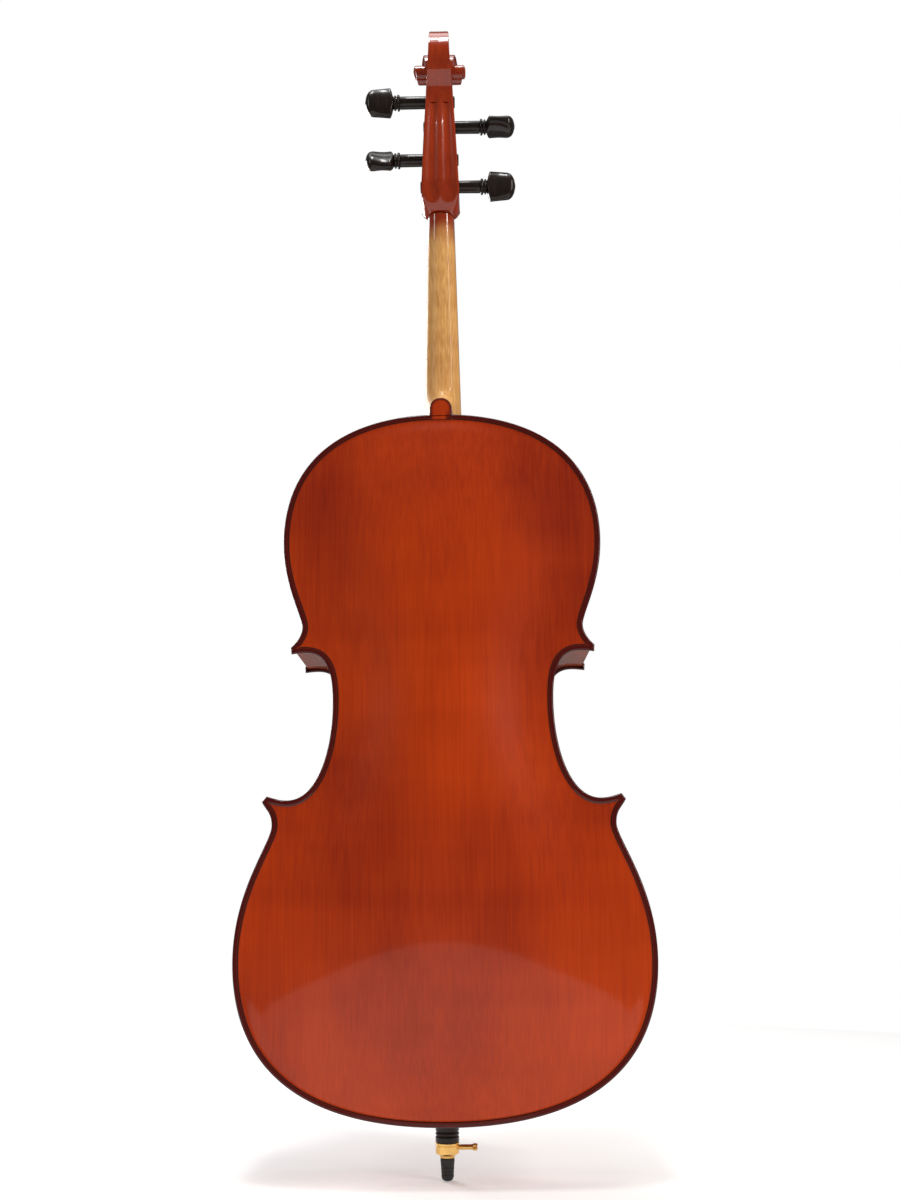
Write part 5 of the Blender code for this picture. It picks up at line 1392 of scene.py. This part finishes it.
plug_low = JOIN_Z + JOIN_GAP
plug_profile = [(RIB_LOW + 0.036, BORE_R), (RIB_LOW + 0.036, PLUG_R - 0.0022),
                (RIB_LOW - 0.0003, PLUG_R - 0.0015), (RIB_LOW - 0.0003, PLUG_R - 0.0003),
                (RIB_LOW - 0.0006, PLUG_R)]
for groove in (BOTTOM - 0.014, BOTTOM - 0.018):
    plug_profile += [(groove + up, PLUG_R - cut) for up, cut in (
        (0.0012, 0.0), (0.0010, 0.0002), (0.0005, 0.0009), (0.0, 0.0011),
        (-0.0005, 0.0009), (-0.0010, 0.0002), (-0.0012, 0.0))]
plug_profile += [(plug_low + 0.0004, PLUG_R), (plug_low, PLUG_R - 0.0004), (plug_low, BORE_R)]
dress(turned_ring("plug_turned", plug_profile), peg_black, "ebony", "endpin_plug")

high, low = JOIN_Z - JOIN_GAP, BOTTOM - 0.0407
collar = turned_ring("collar_turned", [
    (high, BORE_R), (high, PLUG_R - 0.0005), (high - 0.0004, PLUG_R), (high - 0.0024, PLUG_R),
    (high - 0.0027, PLUG_R - 0.0004), (high - 0.0030, PLUG_R - 0.0004), (high - 0.0033, PLUG_R),
    (low + 0.0050, PLUG_R), (low + 0.0045, PLUG_R - 0.0005), (low + 0.0030, PLUG_R - 0.0036),
    (low + 0.0024, PLUG_R - 0.0042), (low + 0.0004, PLUG_R - 0.0046), (low, PLUG_R - 0.0051), (low, BORE_R)])
cut_away(collar, [lathe("screw_hole", [(-0.03, 0.0031), (0.0, 0.0031)], SCREW_SPOT, "X", 24)])
dress(collar, brass, "brass", "endpin_collar")
screw = knurled("thumbscrew", [
    (-0.0318, 0.0026, 0), (-0.0317, 0.0030, 0), (-0.0313, 0.0036, 0.4), (-0.0310, 0.00375, 1),
    (-0.0274, 0.00375, 1), (-0.0271, 0.0036, 0.4), (-0.0267, 0.0030, 0), (-0.0262, 0.00275, 0),
    (-0.0140, 0.00275, 0), (-0.0136, 0.0025, 0), (-BORE_R, 0.0025, 0)], SCREW_SPOT, "X", 20, 0.00045, 160)
dress(screw, brass, "brass", "endpin_screw", body="endpin_screw")

rod_steel = metal("rod_steel", (0.55, 0.55, 0.57), 0.22, wear=0.14, wear_scale=200.0)
rod = lathe("rod_ground", [(0.0063, 0.0033), (0.0068, 0.0038), (0.0075, ROD_R), (0.424, ROD_R),
                           (0.4255, 0.0036), (0.426, 0.0030)], CENTRE, "Z", 32)
dress(rod, rod_steel, "steel", "endpin_rod", body="endpin")
rubber = wood("rubber", (0.028, 0.028, 0.028), (0.014, 0.014, 0.014), grain=0.5, grain_scale=500.0, flame=0.0,
              cloud=0.5, gloss=0.62, bump=0.25)
tip_profile = [(0.0, 0.0002), (0.0, 0.0032), (0.0003, 0.0042), (0.0012, 0.0054), (0.0024, 0.0060),
               (0.0040, 0.0065)]
for groove in (0.0070, 0.0105, 0.0140):
    rim = 0.0067 + 0.05 * (groove - 0.007)
    tip_profile += [(groove - 0.0008, rim), (groove - 0.0004, rim - 0.0004), (groove + 0.0004, rim - 0.0004),
                    (groove + 0.0008, rim)]
tip_profile += [(0.0185, 0.0073), (0.0190, 0.0075), (0.0222, 0.0075), (0.0229, 0.0070), (0.0229, BORE_R),
                (0.006, BORE_R), (0.006, 0.0002)]
dress(turned_ring("tip_ribbed", tip_profile[::-1]), rubber, "rubber", "endpin_tip", body="endpin")
